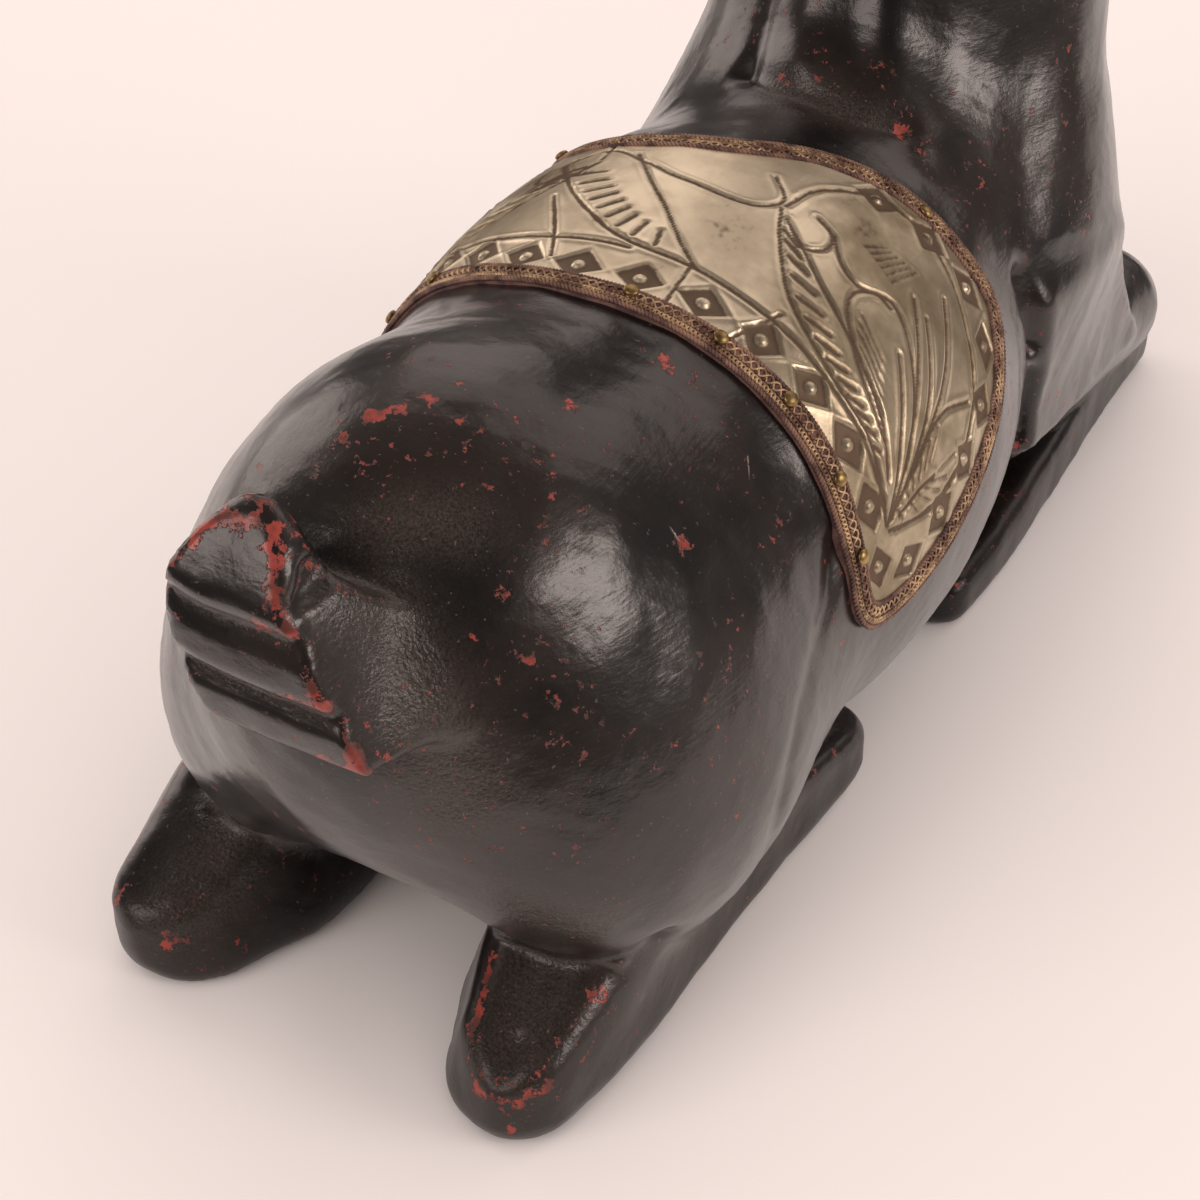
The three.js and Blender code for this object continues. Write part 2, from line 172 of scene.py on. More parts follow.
def lower_leg(points, stations, inner_lean, plan_round, top_round, bottom_round):
    x, y, z = points.T
    middle, half, height = read_stations(stations, y)
    inner = (middle - half - x - inner_lean * (height - z)) / np.hypot(1, inner_lean)
    outer = x - middle - half
    plan = edge_of([inner, outer, y - stations[-1][0], stations[0][0] - y], plan_round)
    return edge_of([edge_of([plan, z - height], top_round), -0.8 - z], bottom_round)


def hind_legs(points):
    right = points * [-1, 1, 1] + [RIGHT_LEG_SHIFT, 0, 0]
    left = points - [LEFT_LEG_SHIFT, 0, 0]
    leg = np.where(points[:, :1] > 0, left, right)
    bevel = leg @ HOCK_BEVEL - HOCK_BEVEL_REACH
    return edge_of([lower_leg(leg, HIND_LEG, 0.35, 10, 3.5, 7), bevel], 2.0)


# %% [markdown]
# The tail stands up against the rump. Its back is carved in three rolls, one under the other, and each
# roll starts with a small ledge. The profile below is read from the top down: how far the wood stands
# back from the rearmost plane at each height.

# %% The tail
TAIL_PROFILE = [
    (78.5, -1.8),
    (81, -0.9),
    (85.8, -0.4),
    (87, -0.7),
    (88.4, -1.7),
    (89.8, -1.9),
    (90.7, -0.5),
    (92.5, 0.0),
    (97, -0.1),
    (99.5, -0.9),
    (101.3, -1.5),
    (102.4, -0.6),
    (104.6, -0.1),
    (106.5, -0.7),
    (109, -2.2),
    (112, -4.2),
    (116, -7.4),
    (119, -11),
]
TAIL_LEFT = [(80, 10), (84, 11.5), (92, 14), (102, 14.4), (106, 14), (117, 12)]
TAIL_RIGHT = [(79, -20.5), (86, -17), (91, -14.6), (101, -10.2), (105.5, -8.1), (117, -4)]
TAIL_FRONT = [(79.5, 100), (88, 112), (96, 124), (101, 130), (106, 133.5), (111, 134.2), (117, 134.5)]
TAIL_CROWN = (1.0, 117.6)
TAIL_SHOULDER = -9.0  # further right, the top of the tail stays level
TAIL_BOTTOM = 79.5
TAIL_FLARE = 0.3  # how fast the foot of the tail widens towards the rump
LIP_DROOP = 0.02  # how much the ledges of the rolls hang to the left


def tail(points):
    x, y, z = points.T
    lips = z - LIP_DROOP * np.maximum(0, x - 3) ** 2
    rear = TAIL_REAR + np.interp(lips, *np.array(TAIL_PROFILE).T)
    left = np.interp(z, *np.array(TAIL_LEFT).T)
    right = np.interp(lips, *np.array(TAIL_RIGHT).T)
    right = right - TAIL_FLARE * np.clip(TAIL_REAR - 4 - y, 0, 14) * ramp(z, 118, 84)
    from_crown = np.maximum(x - TAIL_CROWN[0], TAIL_SHOULDER)
    crown = TAIL_CROWN[1] - np.where(from_crown > 0, 0.07, 0.15) * from_crown**2
    front = np.interp(z, *np.array(TAIL_FRONT).T)
    sides = edge_of([x - left, right - x, y - rear], 1.2)
    return edge_of([sides, z - crown, TAIL_BOTTOM - z, front - y], 2.0)


# %% [markdown]
# The hidden head is a doe's in the same plain manner: a long skull, full cheeks, a narrow muzzle, almond
# eyes and ears like leaves with a scooped hollow. It could be modelled apart, but as masses of the same
# form it grows out of the neck without a seam, as in a carving from one block.

# %% The whole deer
TRUNK = [
    (lambda p: egg(p, (0, 12, 56.5), (57, 90, 57.5)), 0),
    (lambda p: egg(p, (0.5, 91, 70), (42.8, 47.6, 45.5)), 18),
    (lambda p: egg(both_sides(p), (31.6, 86.7, 44.6), (23.9, 35.9, 32.8)), 23),
    (lambda p: egg(p, (0, -67, 62.5), (35.5, 48.5, 51.5)), 18),
    (lambda p: rod(p, (0, -72, 78), (0, -84, 128), taper(50, 35)), 20),
    (lambda p: rod(p, (0, -84, 128), (0, -100, 170), taper(35, 26)), 14),
    (lambda p: rod(p, (0, -100, 170), (0, -108, 205), taper(26, 21)), 14),
]
HEAD = [
    (lambda p: egg(p, (0, -115, 213), (19, 25, 20)), 10),
    (lambda p: egg(both_sides(p), (7, -124, 204), (11, 18, 15)), 8),
    (lambda p: rod(p, (0, -130, 208), (0, -161, 198), taper(14.5, 10.5)), 12),
    (lambda p: egg(both_sides(p), (10, -121, 221), (7, 12, 5)), 6),
    (lambda p: egg(p, (0, -163, 202), (8.5, 7.5, 6.5)), 4),
]
LEGS = [
    (lambda p: rod(both_sides(p), (34, -62, 31), (32, -134, 22), taper(10, 14)), 10),
    (lambda p: upper_arm(both_sides(p)), 8),
    (lambda p: lower_leg(both_sides(p), CANNON, 0.2, 7, 4, 5), 2),
]
EAR_ROOT, EAR_TIP = (12, -102, 224), (40, -86, 250)
HOCK_TROUGHS = [((-28, 112, 32.5), (-32, 140, 22.5)), ((27, 118, 31.5), (33, 140, 22.5))]


def upper_arm(points):
    """The flat outer side of the arm, which ends in a sharp edge over the lower leg."""
    x, y, z = points.T
    low = 35.4 + 0.09 * (y + 44) - z
    front = (-88 - 0.7 * (66 - z) - y) / 1.22
    return edge_of([x - 48.6, 12 - x, low, y + 45, front, z - 72], 2.0)


def leaf(widest):
    return lambda share: widest * np.sin(np.pi * (0.16 + 0.78 * share))


def ears(points):
    right = both_sides(points)
    blade = rod(right, EAR_ROOT, EAR_TIP, leaf(11), (1, 0.45, 1))
    scoop = rod(right, (19, -104.5, 229), (38, -92, 248), leaf(7), (1, 0.6, 1))
    return cut_away(blade, scoop, 1.5)


def join(masses, points):
    gap = masses[0][0](points)
    for mass, softness in masses[1:]:
        gap = blend(gap, mass(points), softness)
    return gap


def wood(points):
    """How far each point is outside the carved wood, in millimetres."""
    gap = join([(lambda p: join(TRUNK, p), 0), *HEAD, (ears, 4)], points)
    legs = hind_legs(points)
    for start, end in HOCK_TROUGHS:
        legs = cut_away(legs, rod(points, start, end, taper(6.5, 5.5)), 3)
    gap = blend(gap, legs, 3)
    gap = join([(lambda p: gap, 0), *LEGS, (tail, 4)], points)
    eyes = egg(both_sides(points), (16.2, -124, 213.5), (3.2, 5.0, 3.6))
    return edge_of([blend(gap, eyes, 0.6), -points[:, 2]], 0.8)


# %% [markdown]
# A form can be asked two things at any place: how far the surface of the wood is, and which way is out.
# A skin settles by asking both again and again. Each point moves by the distance it was told, and in
# between it is drawn to the middle of its neighbours, so that the small squares of the skin stay even.

# %% Ask the form, and settle a skin on it
CORNERS = np.array([(1, -1, -1), (-1, -1, 1), (-1, 1, -1), (1, 1, 1)])


def probe(form, points, step=0.25):
    """The form's value at each point and the direction in which it grows, from four places close by."""
    values = [form(points + corner * step) for corner in CORNERS]
    slopes = sum(value[:, None] * corner for value, corner in zip(values, CORNERS))
    return sum(values) / 4, unit(slopes)


def relax(mesh, points, share):
    """Moves every point towards the middle of its neighbours, which keeps the skin even."""
    ends = np.empty(len(mesh.edges) * 2, np.int32)
    mesh.edges.foreach_get("vertices", ends)
    here, there = np.concatenate([ends[0::2], ends[1::2]]), np.concatenate([ends[1::2], ends[0::2]])
    count = np.bincount(here, minlength=len(points))
    middle = np.stack([np.bincount(here, points[there, axis], len(points)) for axis in range(3)], axis=1)
    return points + share * (middle / count[:, None] - points)


def settle(form, mesh, points, passes):
    """Slides the points of a skin onto the surface of a form, in small moves."""
    for k in range(passes):
        if k < passes - 1:
            points = relax(mesh, points, 0.5)
        gap, outward = probe(form, points)
        points = points - np.clip(gap, -1.2, 1.2)[:, None] * outward
    return points


# %% [markdown]
# ## Strokes of the gouge
# Finer carving is a set of strokes: a path of a few places, a width and a depth. A stroke sinks the wood
# near its path, or raises it where the depth is negative. The places below were estimated from a picture
# of the figurine.

# %% Distance to a path
def distance_to(points, path):
    path = np.array(path, float)
    nearest = np.full(len(points), 1e9)
    for start, end in zip(path[:-1], path[1:]):
        along = end - start
        share = np.clip((points - start) @ along / (along @ along), 0, 1)
        gaps = np.linalg.norm(points - start - share[:, None] * along, axis=1)
        nearest = np.minimum(nearest, gaps)
    return nearest


def stroke(points, path, width, depth):
    """Depth of a soft groove along a path, for the points near it."""
    path = np.array(path, float)
    low, high = path.min(axis=0) - 3 * width, path.max(axis=0) + 3 * width
    near = np.all((points > low) & (points < high), axis=1)
    sunk = np.zeros(len(points))
    sunk[near] = depth * np.exp(-((distance_to(points[near], path) / width) ** 2))
    return sunk


def ripple(points, wavelength, seed):
    """A gentle unevenness between about -1 and 1, the same on every run."""
    generator = np.random.default_rng(seed)
    headings = unit(generator.normal(size=(9, 3)))
    waves = headings * (2 * np.pi / wavelength) * generator.uniform(0.7, 1.4, (9, 1))
    return np.sin(points @ waves.T + generator.uniform(0, 6.3, 9)).sum(axis=1) / 4


# %% [markdown]
# The carver draws each line on the wood first. The strokes behind the thigh, up the nape, round the
# hocks and behind the elbow show on the figurine, and those of the face are the usual few: two lids, a
# mouth and a nostril. Gouging in code could also cut real grooves out of the form, but a stroke that
# only presses the skin keeps its small squares even.

# %% The gouge strokes on the deer
THIGH_EDGE = [
    (-49, 52, 74), (-52, 58, 67), (-55, 67, 63), (-57.5, 76, 58), (-58, 82, 51), (-57, 84, 41), (-52, 82, 29)
]
NECK_VALLEY = [(15, -31, 113), (3, -27, 113), (-5, -25, 112), (-14, -25, 110), (-20, -30, 108)]
NAPE_GROOVE = [(13, -32, 113), (13, -33, 114), (14, -39, 120), (13, -46, 138), (9, -60, 168), (7, -74, 196)]
NAPE_BULGE = [(1, -33, 116), (4, -39, 124), (4, -50, 146)]
NAPE_DIP = [(-8, -35, 116), (-7, -41, 125), (-5, -50, 146), (-4, -68, 180)]
NAPE_RIDGE = [
    (-24, -32, 105), (-17, -35, 111), (-13, -40, 119), (-10, -42, 127), (-6, -54, 150), (-4, -70, 180)
]
NAPE = [(-12, -26, 107), (-6, -33, 114), (-3, -41, 125), (-1, -52, 150), (0, -70, 180)]
NECK_HOLLOW = [(-35, -60, 135), (-38, -55, 116), (-42, -48, 98), (-45, -42, 86)]
RIGHT_LIP = [(-21, 117, 26), (-34.4, 114.6, 26.5), (-45, 112.2, 25.5)]
LEFT_LIP = [(22, 119, 26), (31.7, 118.8, 26.5), (41, 118.2, 25.5)]
BEHIND_RIGHT_LIP = [(-20, 112.5, 31), (-35, 110.2, 32), (-46, 107.5, 29.5)]
BEHIND_LEFT_LIP = [(22, 114.5, 31), (33, 114, 32), (43, 113, 29.5)]
ELBOW_SLOT = [(46.2, -39.5, 79), (48.6, -40.3, 64)]
LOW_ELBOW_SLOT = [(48.4, -41.3, 56), (47, -43, 40)]
HOCK_END = [(-33, 131, 18.5), (-34.5, 142, 15.5)]
LEFT_HOCK_END = [(33, 131, 18.5), (35, 142, 15.5)]
EYE_CORNERS = [(18.5, -131, 211.5), (18.5, -124.5, 218.5), (17, -117, 214)]
LOWER_LID = [(18.5, -131, 211.5), (19.5, -124, 208.6), (17, -117, 214)]
MOUTH = [(0, -171, 195), (6.5, -167, 194), (10, -158, 194.5), (12.5, -149, 197)]
NOSTRIL = [(4.5, -170, 203), (6.5, -168.5, 204.5)]
CHEEK_LINE = [(18, -108, 214), (19, -112, 203), (16, -120, 193)]


def mirrored(path):
    return [(-x, y, z) for x, y, z in path]


GOUGE_STROKES = [
    (THIGH_EDGE, 2.4, 0.9),
    (mirrored(THIGH_EDGE), 2.4, 0.9),
    (NECK_VALLEY, 3.2, 1.8),
    (NAPE_GROOVE, 2.6, 1.8),
    (NAPE_BULGE, 6.0, -1.8),
    (NAPE_DIP, 4.0, 1.0),
    (NAPE_RIDGE, 6.0, -1.8),
    (NAPE, 15.0, -3.0),
    (NECK_HOLLOW, 12.0, 2.4),
    (BEHIND_RIGHT_LIP, 3.0, 3.0),
    (BEHIND_LEFT_LIP, 3.0, 3.0),
    (RIGHT_LIP, 1.1, -1.0),
    (LEFT_LIP, 1.1, -1.0),
    (ELBOW_SLOT, 2.5, 3.4),
    (mirrored(ELBOW_SLOT), 2.5, 3.4),
    (LOW_ELBOW_SLOT, 2.2, 3.0),
    (mirrored(LOW_ELBOW_SLOT), 2.2, 3.0),
    (HOCK_END, 2.0, 1.0),
    (LEFT_HOCK_END, 2.0, 0.6),
    (MOUTH, 0.9, 0.9),
    (mirrored(MOUTH), 0.9, 0.9),
    (NOSTRIL, 1.1, 1.2),
    (mirrored(NOSTRIL), 1.1, 1.2),
    (EYE_CORNERS, 0.9, 0.8),
    (mirrored(EYE_CORNERS), 0.9, 0.8),
    (LOWER_LID, 0.9, 0.7),
    (mirrored(LOWER_LID), 0.9, 0.7),
    (CHEEK_LINE, 2.0, 0.6),
    (mirrored(CHEEK_LINE), 2.0, 0.6),
]  # path, width and depth

# %% [markdown]
# ## Carve the deer
# The plain solid of the frame is copied, and a voxel remesh turns it into an even skin of small squares.
# The skin settles onto the form, the strokes press into it, and the underside is sanded flat again.
# Last, Decimate drops points where the wood is smooth, so that the edges keep theirs.

# %% From the plain solid to the carved skin
VOXEL = 0.9
WOOD_TRIANGLES = 190000
WIDE_RIPPLE, FINE_RIPPLE = 0.16, 0.05  # the hand-cut surface is never quite even


def new_piece(name, mesh):
    piece = bpy.data.objects.new(name, mesh)
    bpy.context.scene.collection.objects.link(piece)
    for polygon in mesh.polygons:
        polygon.use_smooth = True
    return piece


def bake_modifiers(piece):
    """Applies a piece's modifiers and keeps the result as its smooth mesh."""
    evaluated = piece.evaluated_get(bpy.context.evaluated_depsgraph_get())
    mesh = bpy.data.meshes.new_from_object(evaluated)
    piece.modifiers.clear()
    piece.data = mesh
    for polygon in mesh.polygons:
        polygon.use_smooth = True
    return mesh


def weld(source, target):
    """Copies a mesh into another, or into itself, and joins points that lie in the same place."""
    shell = bmesh.new()
    shell.from_mesh(source)
    bmesh.ops.remove_doubles(shell, verts=shell.verts, dist=0.00001)
    shell.to_mesh(target)
    shell.free()


def copy_of_solid(name, node):
    mesh = bpy.data.meshes.new(name)
    weld(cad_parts[node].data, mesh)
    return new_piece(name, mesh)


def triangles_in(mesh):
    return sum(len(polygon.vertices) - 2 for polygon in mesh.polygons)


deer = copy_of_solid("carved_deer", "deer_body")
remesh = deer.modifiers.new("even skin", "REMESH")
remesh.mode = "VOXEL"
remesh.voxel_size = VOXEL * MM
skin = bake_modifiers(deer)
places = settle(wood, skin, to_carver(points_of(skin)), 8)
normals = probe(wood, places)[1]
sunk = sum(stroke(places, *gouge) for gouge in GOUGE_STROKES)
sunk = sunk + WIDE_RIPPLE * ripple(places, 14, 1) + FINE_RIPPLE * ripple(places, 4.5, 2)
places = places - normals * sunk[:, None]
places[:, 2] = np.maximum(places[:, 2], 0)
move_points(skin, to_frame(places))
print("carved skin", len(skin.vertices), "points")

decimate = deer.modifiers.new("drop points on smooth wood", "DECIMATE")
decimate.ratio = min(1.0, WOOD_TRIANGLES / triangles_in(skin))
skin = bake_modifiers(deer)
print("carved deer", triangles_in(skin), "triangles")
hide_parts("deer_body")
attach(deer, "root")

# %% [markdown]
# ## Where the lacquer is worn and where dust gathers
# Hands and cloths rub the lacquer thin on the proud edges, and the red ground under it shows there. Dust
# and old polish stay in the hollows. Both are painted on the points of the skin: a share for how much an
# edge stands out, a share for how deep a hollow is, and patches at the places where the figurine shows
# bare red.

# %% Wear and dust as shares on the skin
WORN_LINES = [
    ([(9.4, 142.3, 111), (9.2, 140.8, 112.6), (4.9, 139.5, 114.9), (0.1, 139, 115.5)], 1.4),
    ([(-2.9, 138.9, 114.8), (-4.3, 141.9, 111.7), (-6.1, 144.9, 107.2), (-8.7, 145.3, 103.4)], 1.4),
    ([(-8.3, 145.2, 105), (-8.9, 145.2, 102.6), (-2, 146, 102.6)], 1.3),
    ([(-12.3, 145.7, 95), (-13.8, 145.5, 91), (-6, 146, 90.8)], 1.2),
    ([(-17.2, 145.2, 84.6), (-19.2, 144.4, 80.7), (-11, 144.8, 80.7)], 1.6),
    ([(-37.5, 136.9, 12.3), (-29.1, 137.8, 12.6)], 1.1),
    ([(-21.9, 120.5, 23.2), (-24.6, 129.3, 19.2), (-27.7, 136.6, 14.1)], 0.7),
    ([(31.5, 135, 11.5), (36, 136, 13)], 1.2),
]  # path and width
WORN_SPOTS = [
    (-2, 100, 115, 2.2), (1, 103, 114, 2.0), (4, 106, 113, 2.2), (6, 111, 111, 1.6), (-18, 86, 110, 1.8),
    (-21, 60, 104, 2.0), (-24, 58, 102, 1.8), (-25, 116, 97, 1.2), (-29, 118, 88, 2.2), (-33, 118, 82, 1.8),
    (-29, 123, 79, 1.8), (-50, 108, 68, 2.0), (-49, 112, 64, 1.4), (-48, 117, 55, 2.2), (-50, 101, 76, 1.4),
    (-28, 86, 101, 1.6), (-38, 86, 92, 2.0), (-33, 81, 96, 1.4), (-35, 106, 89, 1.6), (-23, 122, 93, 1.2),
    (-21, -30, 108, 2.8), (4, -29, 114, 1.6), (-31, -46, 111, 2.0), (-33, -55, 122, 1.8),
    (-46, -40, 79, 2.4), (-47.5, -45.5, 70, 1.6), (-47, -45, 60, 2.2), (-46, -45, 37, 1.6),
    (-41, 119, 22, 2.4), (-17, 134, 74, 1.2), (-22, 132, 71, 1.0), (-16, 60, 106, 1.6),
    (-19, 59, 105, 1.4), (12, 140, 60, 1.4),
    (46, 136, 13, 1.6), (45, 133, 17, 1.3), (36, 137, 11, 1.4), (-46, 22, 5, 1.6), (-40, 133, 15, 1.6),
    (-29, 137, 12, 1.6), (-36, 138, 6, 1.4), (-7, -29, 112, 1.0), (5, -37, 122, 1.2), (39, 125, 48, 1.2),
    (33, 126, 46, 1.2), (28, 127, 44, 1.0),
]  # x, y, z and radius
DRY_LINES = [
    ([(-12, 130, 103), (-17, 131, 92), (-20, 131, 80), (-24, 129, 68)], 8),
    ([(-6, 122, 106), (-16, 114, 105)], 6),
    ([(-31, 114, 27), (-33, 132, 20)], 8),
    ([(33, 118, 27), (34, 136, 17)], 9),
    ([(3, -27, 113), (-8, -25, 112), (-16, -27, 109)], 5),
    ([(-30, 128, 45), (-42, 121, 40)], 5),
]  # where the lacquer has dried out and turned dull

# %% [markdown]
# A share is painted as a named attribute on the points of the skin, where a material can read it. Edges
# and hollows are found by asking the form how strongly it bends, and the places above are added to them.

# %% Paint the shares on the skin
EDGE_WEAR = 0.42  # any sharp edge is worn this much


def paint(mesh, name, shares):
    layer = mesh.attributes.new(name, "FLOAT", "POINT")
    layer.data.foreach_set("value", np.asarray(shares, np.float32))


def curvature(form, points, step):
    """How strongly the surface bends: positive on edges and negative in hollows."""
    around = sum(form(points + move) + form(points - move) for move in np.eye(3) * step)
    return (around - 6 * form(points)) / step**2


def glow(gaps, radius):
    return np.exp(-((gaps / radius) ** 2))


places = to_carver(points_of(skin))
bend = curvature(wood, places, 2.5)
worn = EDGE_WEAR * ramp(bend, 0.12, 0.4) * ramp(places[:, 2], 2, 4)
for path, width in WORN_LINES:
    worn = np.maximum(worn, glow(distance_to(places, path), width * 1.3))
for *spot, radius in WORN_SPOTS:
    worn = np.maximum(worn, glow(np.linalg.norm(places - spot, axis=1), radius))
paint(skin, "worn", worn)
dry = ramp(-bend, 0.04, 0.4)
for path, width in DRY_LINES:
    dry = np.maximum(dry, glow(distance_to(places, path), width))
paint(skin, "dry", dry)
print("worn share", round(float(worn.mean()), 3))

# %% [markdown]
# ## The old lacquer
# Black-brown lacquer lies over a red ground. It has the fine ripple of brushed lacquer, a few pores
# along the grain, and a clear hard skin that gives soft reflections. The red shows where the shares
# painted on the skin are high, with ragged edges from a fine noise, because lacquer chips rather than
# fades.


# %% Helpers for materials
def add_node(tree, kind, inputs=None, output=0, **settings):
    made = tree.nodes.new("ShaderNode" + kind)
    for name, value in settings.items():
        setattr(made, name, value)
    for socket, value in (inputs or {}).items():
        if isinstance(value, bpy.types.NodeSocket):
            tree.links.new(value, made.inputs[socket])
        else:
            made.inputs[socket].default_value = value
    return made.outputs[output]


def new_material(name):
    material = bpy.data.materials.new(name)
    material.use_nodes = True
    return material, material.node_tree


def maths(tree, operation, a, b):
    return add_node(tree, "Math", {0: a, 1: b}, operation=operation)


def plus(tree, value, extra, amount):
    """The value with a certain amount of something extra."""
    return maths(tree, "ADD", value, maths(tree, "MULTIPLY", extra, amount))


def noise(tree, place, scale, detail=2.0, roughness=0.5):
    return add_node(
        tree, "TexNoise", {"Vector": place, "Scale": scale, "Detail": detail, "Roughness": roughness}
    )


def steps(tree, value, low, high, to_low=0.0, to_high=1.0):
    inputs = {"Value": value, "From Min": low, "From Max": high, "To Min": to_low, "To Max": to_high}
    return add_node(tree, "MapRange", inputs, interpolation_type="SMOOTHSTEP")


def mix_colours(tree, share, first, second):
    node = tree.nodes.new("ShaderNodeMix")
    node.data_type = "RGBA"
    for socket, value in ((node.inputs[0], share), (node.inputs[6], first), (node.inputs[7], second)):
        if isinstance(value, bpy.types.NodeSocket):
            tree.links.new(value, socket)
        else:
            socket.default_value = value
    return node.outputs[2]


def shade(tree, colour, rough, relief):
    """Links a colour, a roughness and a bump to the material's shader."""
    surface = tree.nodes["Principled BSDF"]
    for socket, value in (("Base Color", colour), ("Roughness", rough), ("Normal", relief)):
        tree.links.new(value, surface.inputs[socket])
    return surface


def painted(tree, name):
    return add_node(tree, "Attribute", output=2, attribute_name=name)


def stretched(tree, place, scale):
    return add_node(tree, "Mapping", {"Vector": place, "Scale": scale})


# %% [markdown]
# A scratch is too fine for the skin, so it lives in the lacquer's colour and bump. It is a short
# straight line in space, and the material measures how far each point is from it.

# %% Scratches
SCRATCHES = [
    [(-29, 86, 100), (-41, 86, 89.5), (-45, 86, 86)],
    [(-34, 126, 64), (-38, 123, 67), (-42, 116, 74)],
    [(-40, 119, 71), (-38, 119, 75)],
    [(-36, 60, 92), (-39, 64, 89)],
    [(7, 67, 110), (-3, 64, 110), (-15, 59, 107)],
    [(4, 77, 113), (-5, 78, 113), (-12, 69, 109)],
]
SCRATCH_WIDTH = 0.25


def segment(tree, place, start, end, width):
    """A share that is 1 on a straight line and 0 at a distance of its width."""
    start, end = to_frame(start), to_frame(end)
    axis = end - start
    reach = add_node(tree, "VectorMath", {0: place, 1: tuple(start)}, operation="SUBTRACT")
    ruler = tuple(axis / (axis @ axis))
    share = add_node(tree, "VectorMath", {0: reach, 1: ruler}, 1, operation="DOT_PRODUCT")
    share = add_node(tree, "Clamp", {"Value": share})
    foot = add_node(tree, "VectorMath", {0: tuple(axis), "Scale": share}, operation="SCALE")
    gap = add_node(tree, "VectorMath", {0: reach, 1: foot}, 1, operation="DISTANCE")
    return add_node(tree, "MapRange", {"Value": gap, "From Min": width * MM, "From Max": 0.3 * width * MM})


# %% [markdown]
# The lacquer itself is one material. It could be painted as a picture, but a few noises of different
# sizes give its clouds, chips and pores at any distance. A clear coat over a duller base gives the two
# kinds of reflection that polished lacquer has, a sharp one and a wide one.

# %% Colours and noises of the lacquer
BLACK = (0.0045, 0.0036, 0.0034, 1)
DARK_BROWN = (0.014, 0.009, 0.007, 1)
RED_GROUND = (0.29, 0.034, 0.022, 1)
RED_BROWN = (0.10, 0.022, 0.015, 1)
DUST = (0.15, 0.112, 0.09, 1)
SCRATCH_GREY = (0.3, 0.26, 0.23, 1)

lacquer, tree = new_material("old lacquer")
place = add_node(tree, "TexCoord", output=3)
ragged = noise(tree, place, 480, 5, 0.7)
cloudy = noise(tree, place, 38, 4, 0.6)
peel = noise(tree, place, 330, 2)
wrinkles = noise(tree, place, 1250, 3, 0.6)
powder = noise(tree, place, 2200, 3, 0.6)
hairlines = noise(tree, stretched(tree, place, (0.5, 0.04, 1)), 1500, 2)

# %% [markdown]
# The colour is laid on in the order of the real layers: first the lacquer, then the red ground where it
# is chipped, then dust, and the scratches last.

# %% Colour of the lacquer
dry_share = painted(tree, "dry")
worn_share = painted(tree, "worn")
chipped = plus(tree, worn_share, maths(tree, "SUBTRACT", ragged, 0.5), 3.0)
red = steps(tree, chipped, 0.58, 0.74)
flecks = maths(tree, "MULTIPLY", steps(tree, ragged, 0.61, 0.66), steps(tree, cloudy, 0.48, 0.57))
red = maths(tree, "MAXIMUM", red, flecks)
scratched = 0.0
for path in SCRATCHES:
    for start, end in zip(path[:-1], path[1:]):
        scratch = segment(tree, place, start, end, SCRATCH_WIDTH)
        scratched = maths(tree, "MAXIMUM", scratched, scratch)
scratched = maths(tree, "MULTIPLY", scratched, steps(tree, wrinkles, 0.38, 0.52))
dusty = maths(tree, "MULTIPLY", dry_share, steps(tree, powder, 0.25, 0.75))
specks = steps(tree, noise(tree, place, 1300, 1), 0.72, 0.76)
dusty = plus(tree, maths(tree, "MULTIPLY", dusty, 0.27), specks, 0.4)
colour = mix_colours(tree, steps(tree, cloudy, 0.38, 0.66), BLACK, DARK_BROWN)
red_colour = mix_colours(tree, steps(tree, peel, 0.35, 0.6), RED_BROWN, RED_GROUND)
colour = mix_colours(tree, red, colour, red_colour)
colour = mix_colours(tree, dusty, colour, DUST)
colour = mix_colours(tree, maths(tree, "MULTIPLY", scratched, 0.7), colour, SCRATCH_GREY)

# %% [markdown]
# Gloss and relief follow the same shares. Red ground and dust are duller than lacquer, a chip and a
# scratch lie a little lower, and lacquer that has dried out is finely wrinkled. So all of them stay in
# step without a picture.

# %% Gloss and relief of the lacquer
rough = steps(tree, cloudy, 0.35, 0.65, 0.34, 0.42)
for extra, amount in ((red, 0.12), (dry_share, 0.16), (dusty, 0.3)):
    rough = plus(tree, rough, extra, amount)
height = maths(tree, "MULTIPLY", peel, 0.07)
for extra, amount in ((red, -0.05), (scratched, -0.08), (hairlines, 0.03)):
    height = plus(tree, height, extra, amount)
height = plus(tree, height, wrinkles, steps(tree, dry_share, 0, 0.8, 0.032, 0.2))
relief = add_node(tree, "Bump", {"Height": height, "Distance": MM, "Strength": 1.0})
surface = shade(tree, colour, rough, relief)
surface.inputs["IOR"].default_value = 1.46
surface.inputs["Specular IOR Level"].default_value = 0.42
surface.inputs["Coat IOR"].default_value = 1.5
surface.inputs["Coat Roughness"].default_value = 0.22
off_ground = add_node(tree, "SeparateXYZ", {"Vector": place}, 2)
polish = steps(tree, off_ground, 0.010, 0.022, 0.15, 0.78)  # nobody polishes the legs near the ground
tree.links.new(polish, surface.inputs["Coat Weight"])
tree.links.new(relief, surface.inputs["Coat Normal"])
deer.data.materials.clear()
deer.data.materials.append(lacquer)

# %% [markdown]
# ## The saddle cloth's pattern
# The cloth is a sheet of thin white metal. Its pattern is drawn on the flat sheet first: how far along
# the barrel from the spine, and how far back. The outline is a closed curve through a few places, and
# all borders run at a fixed distance inside it.

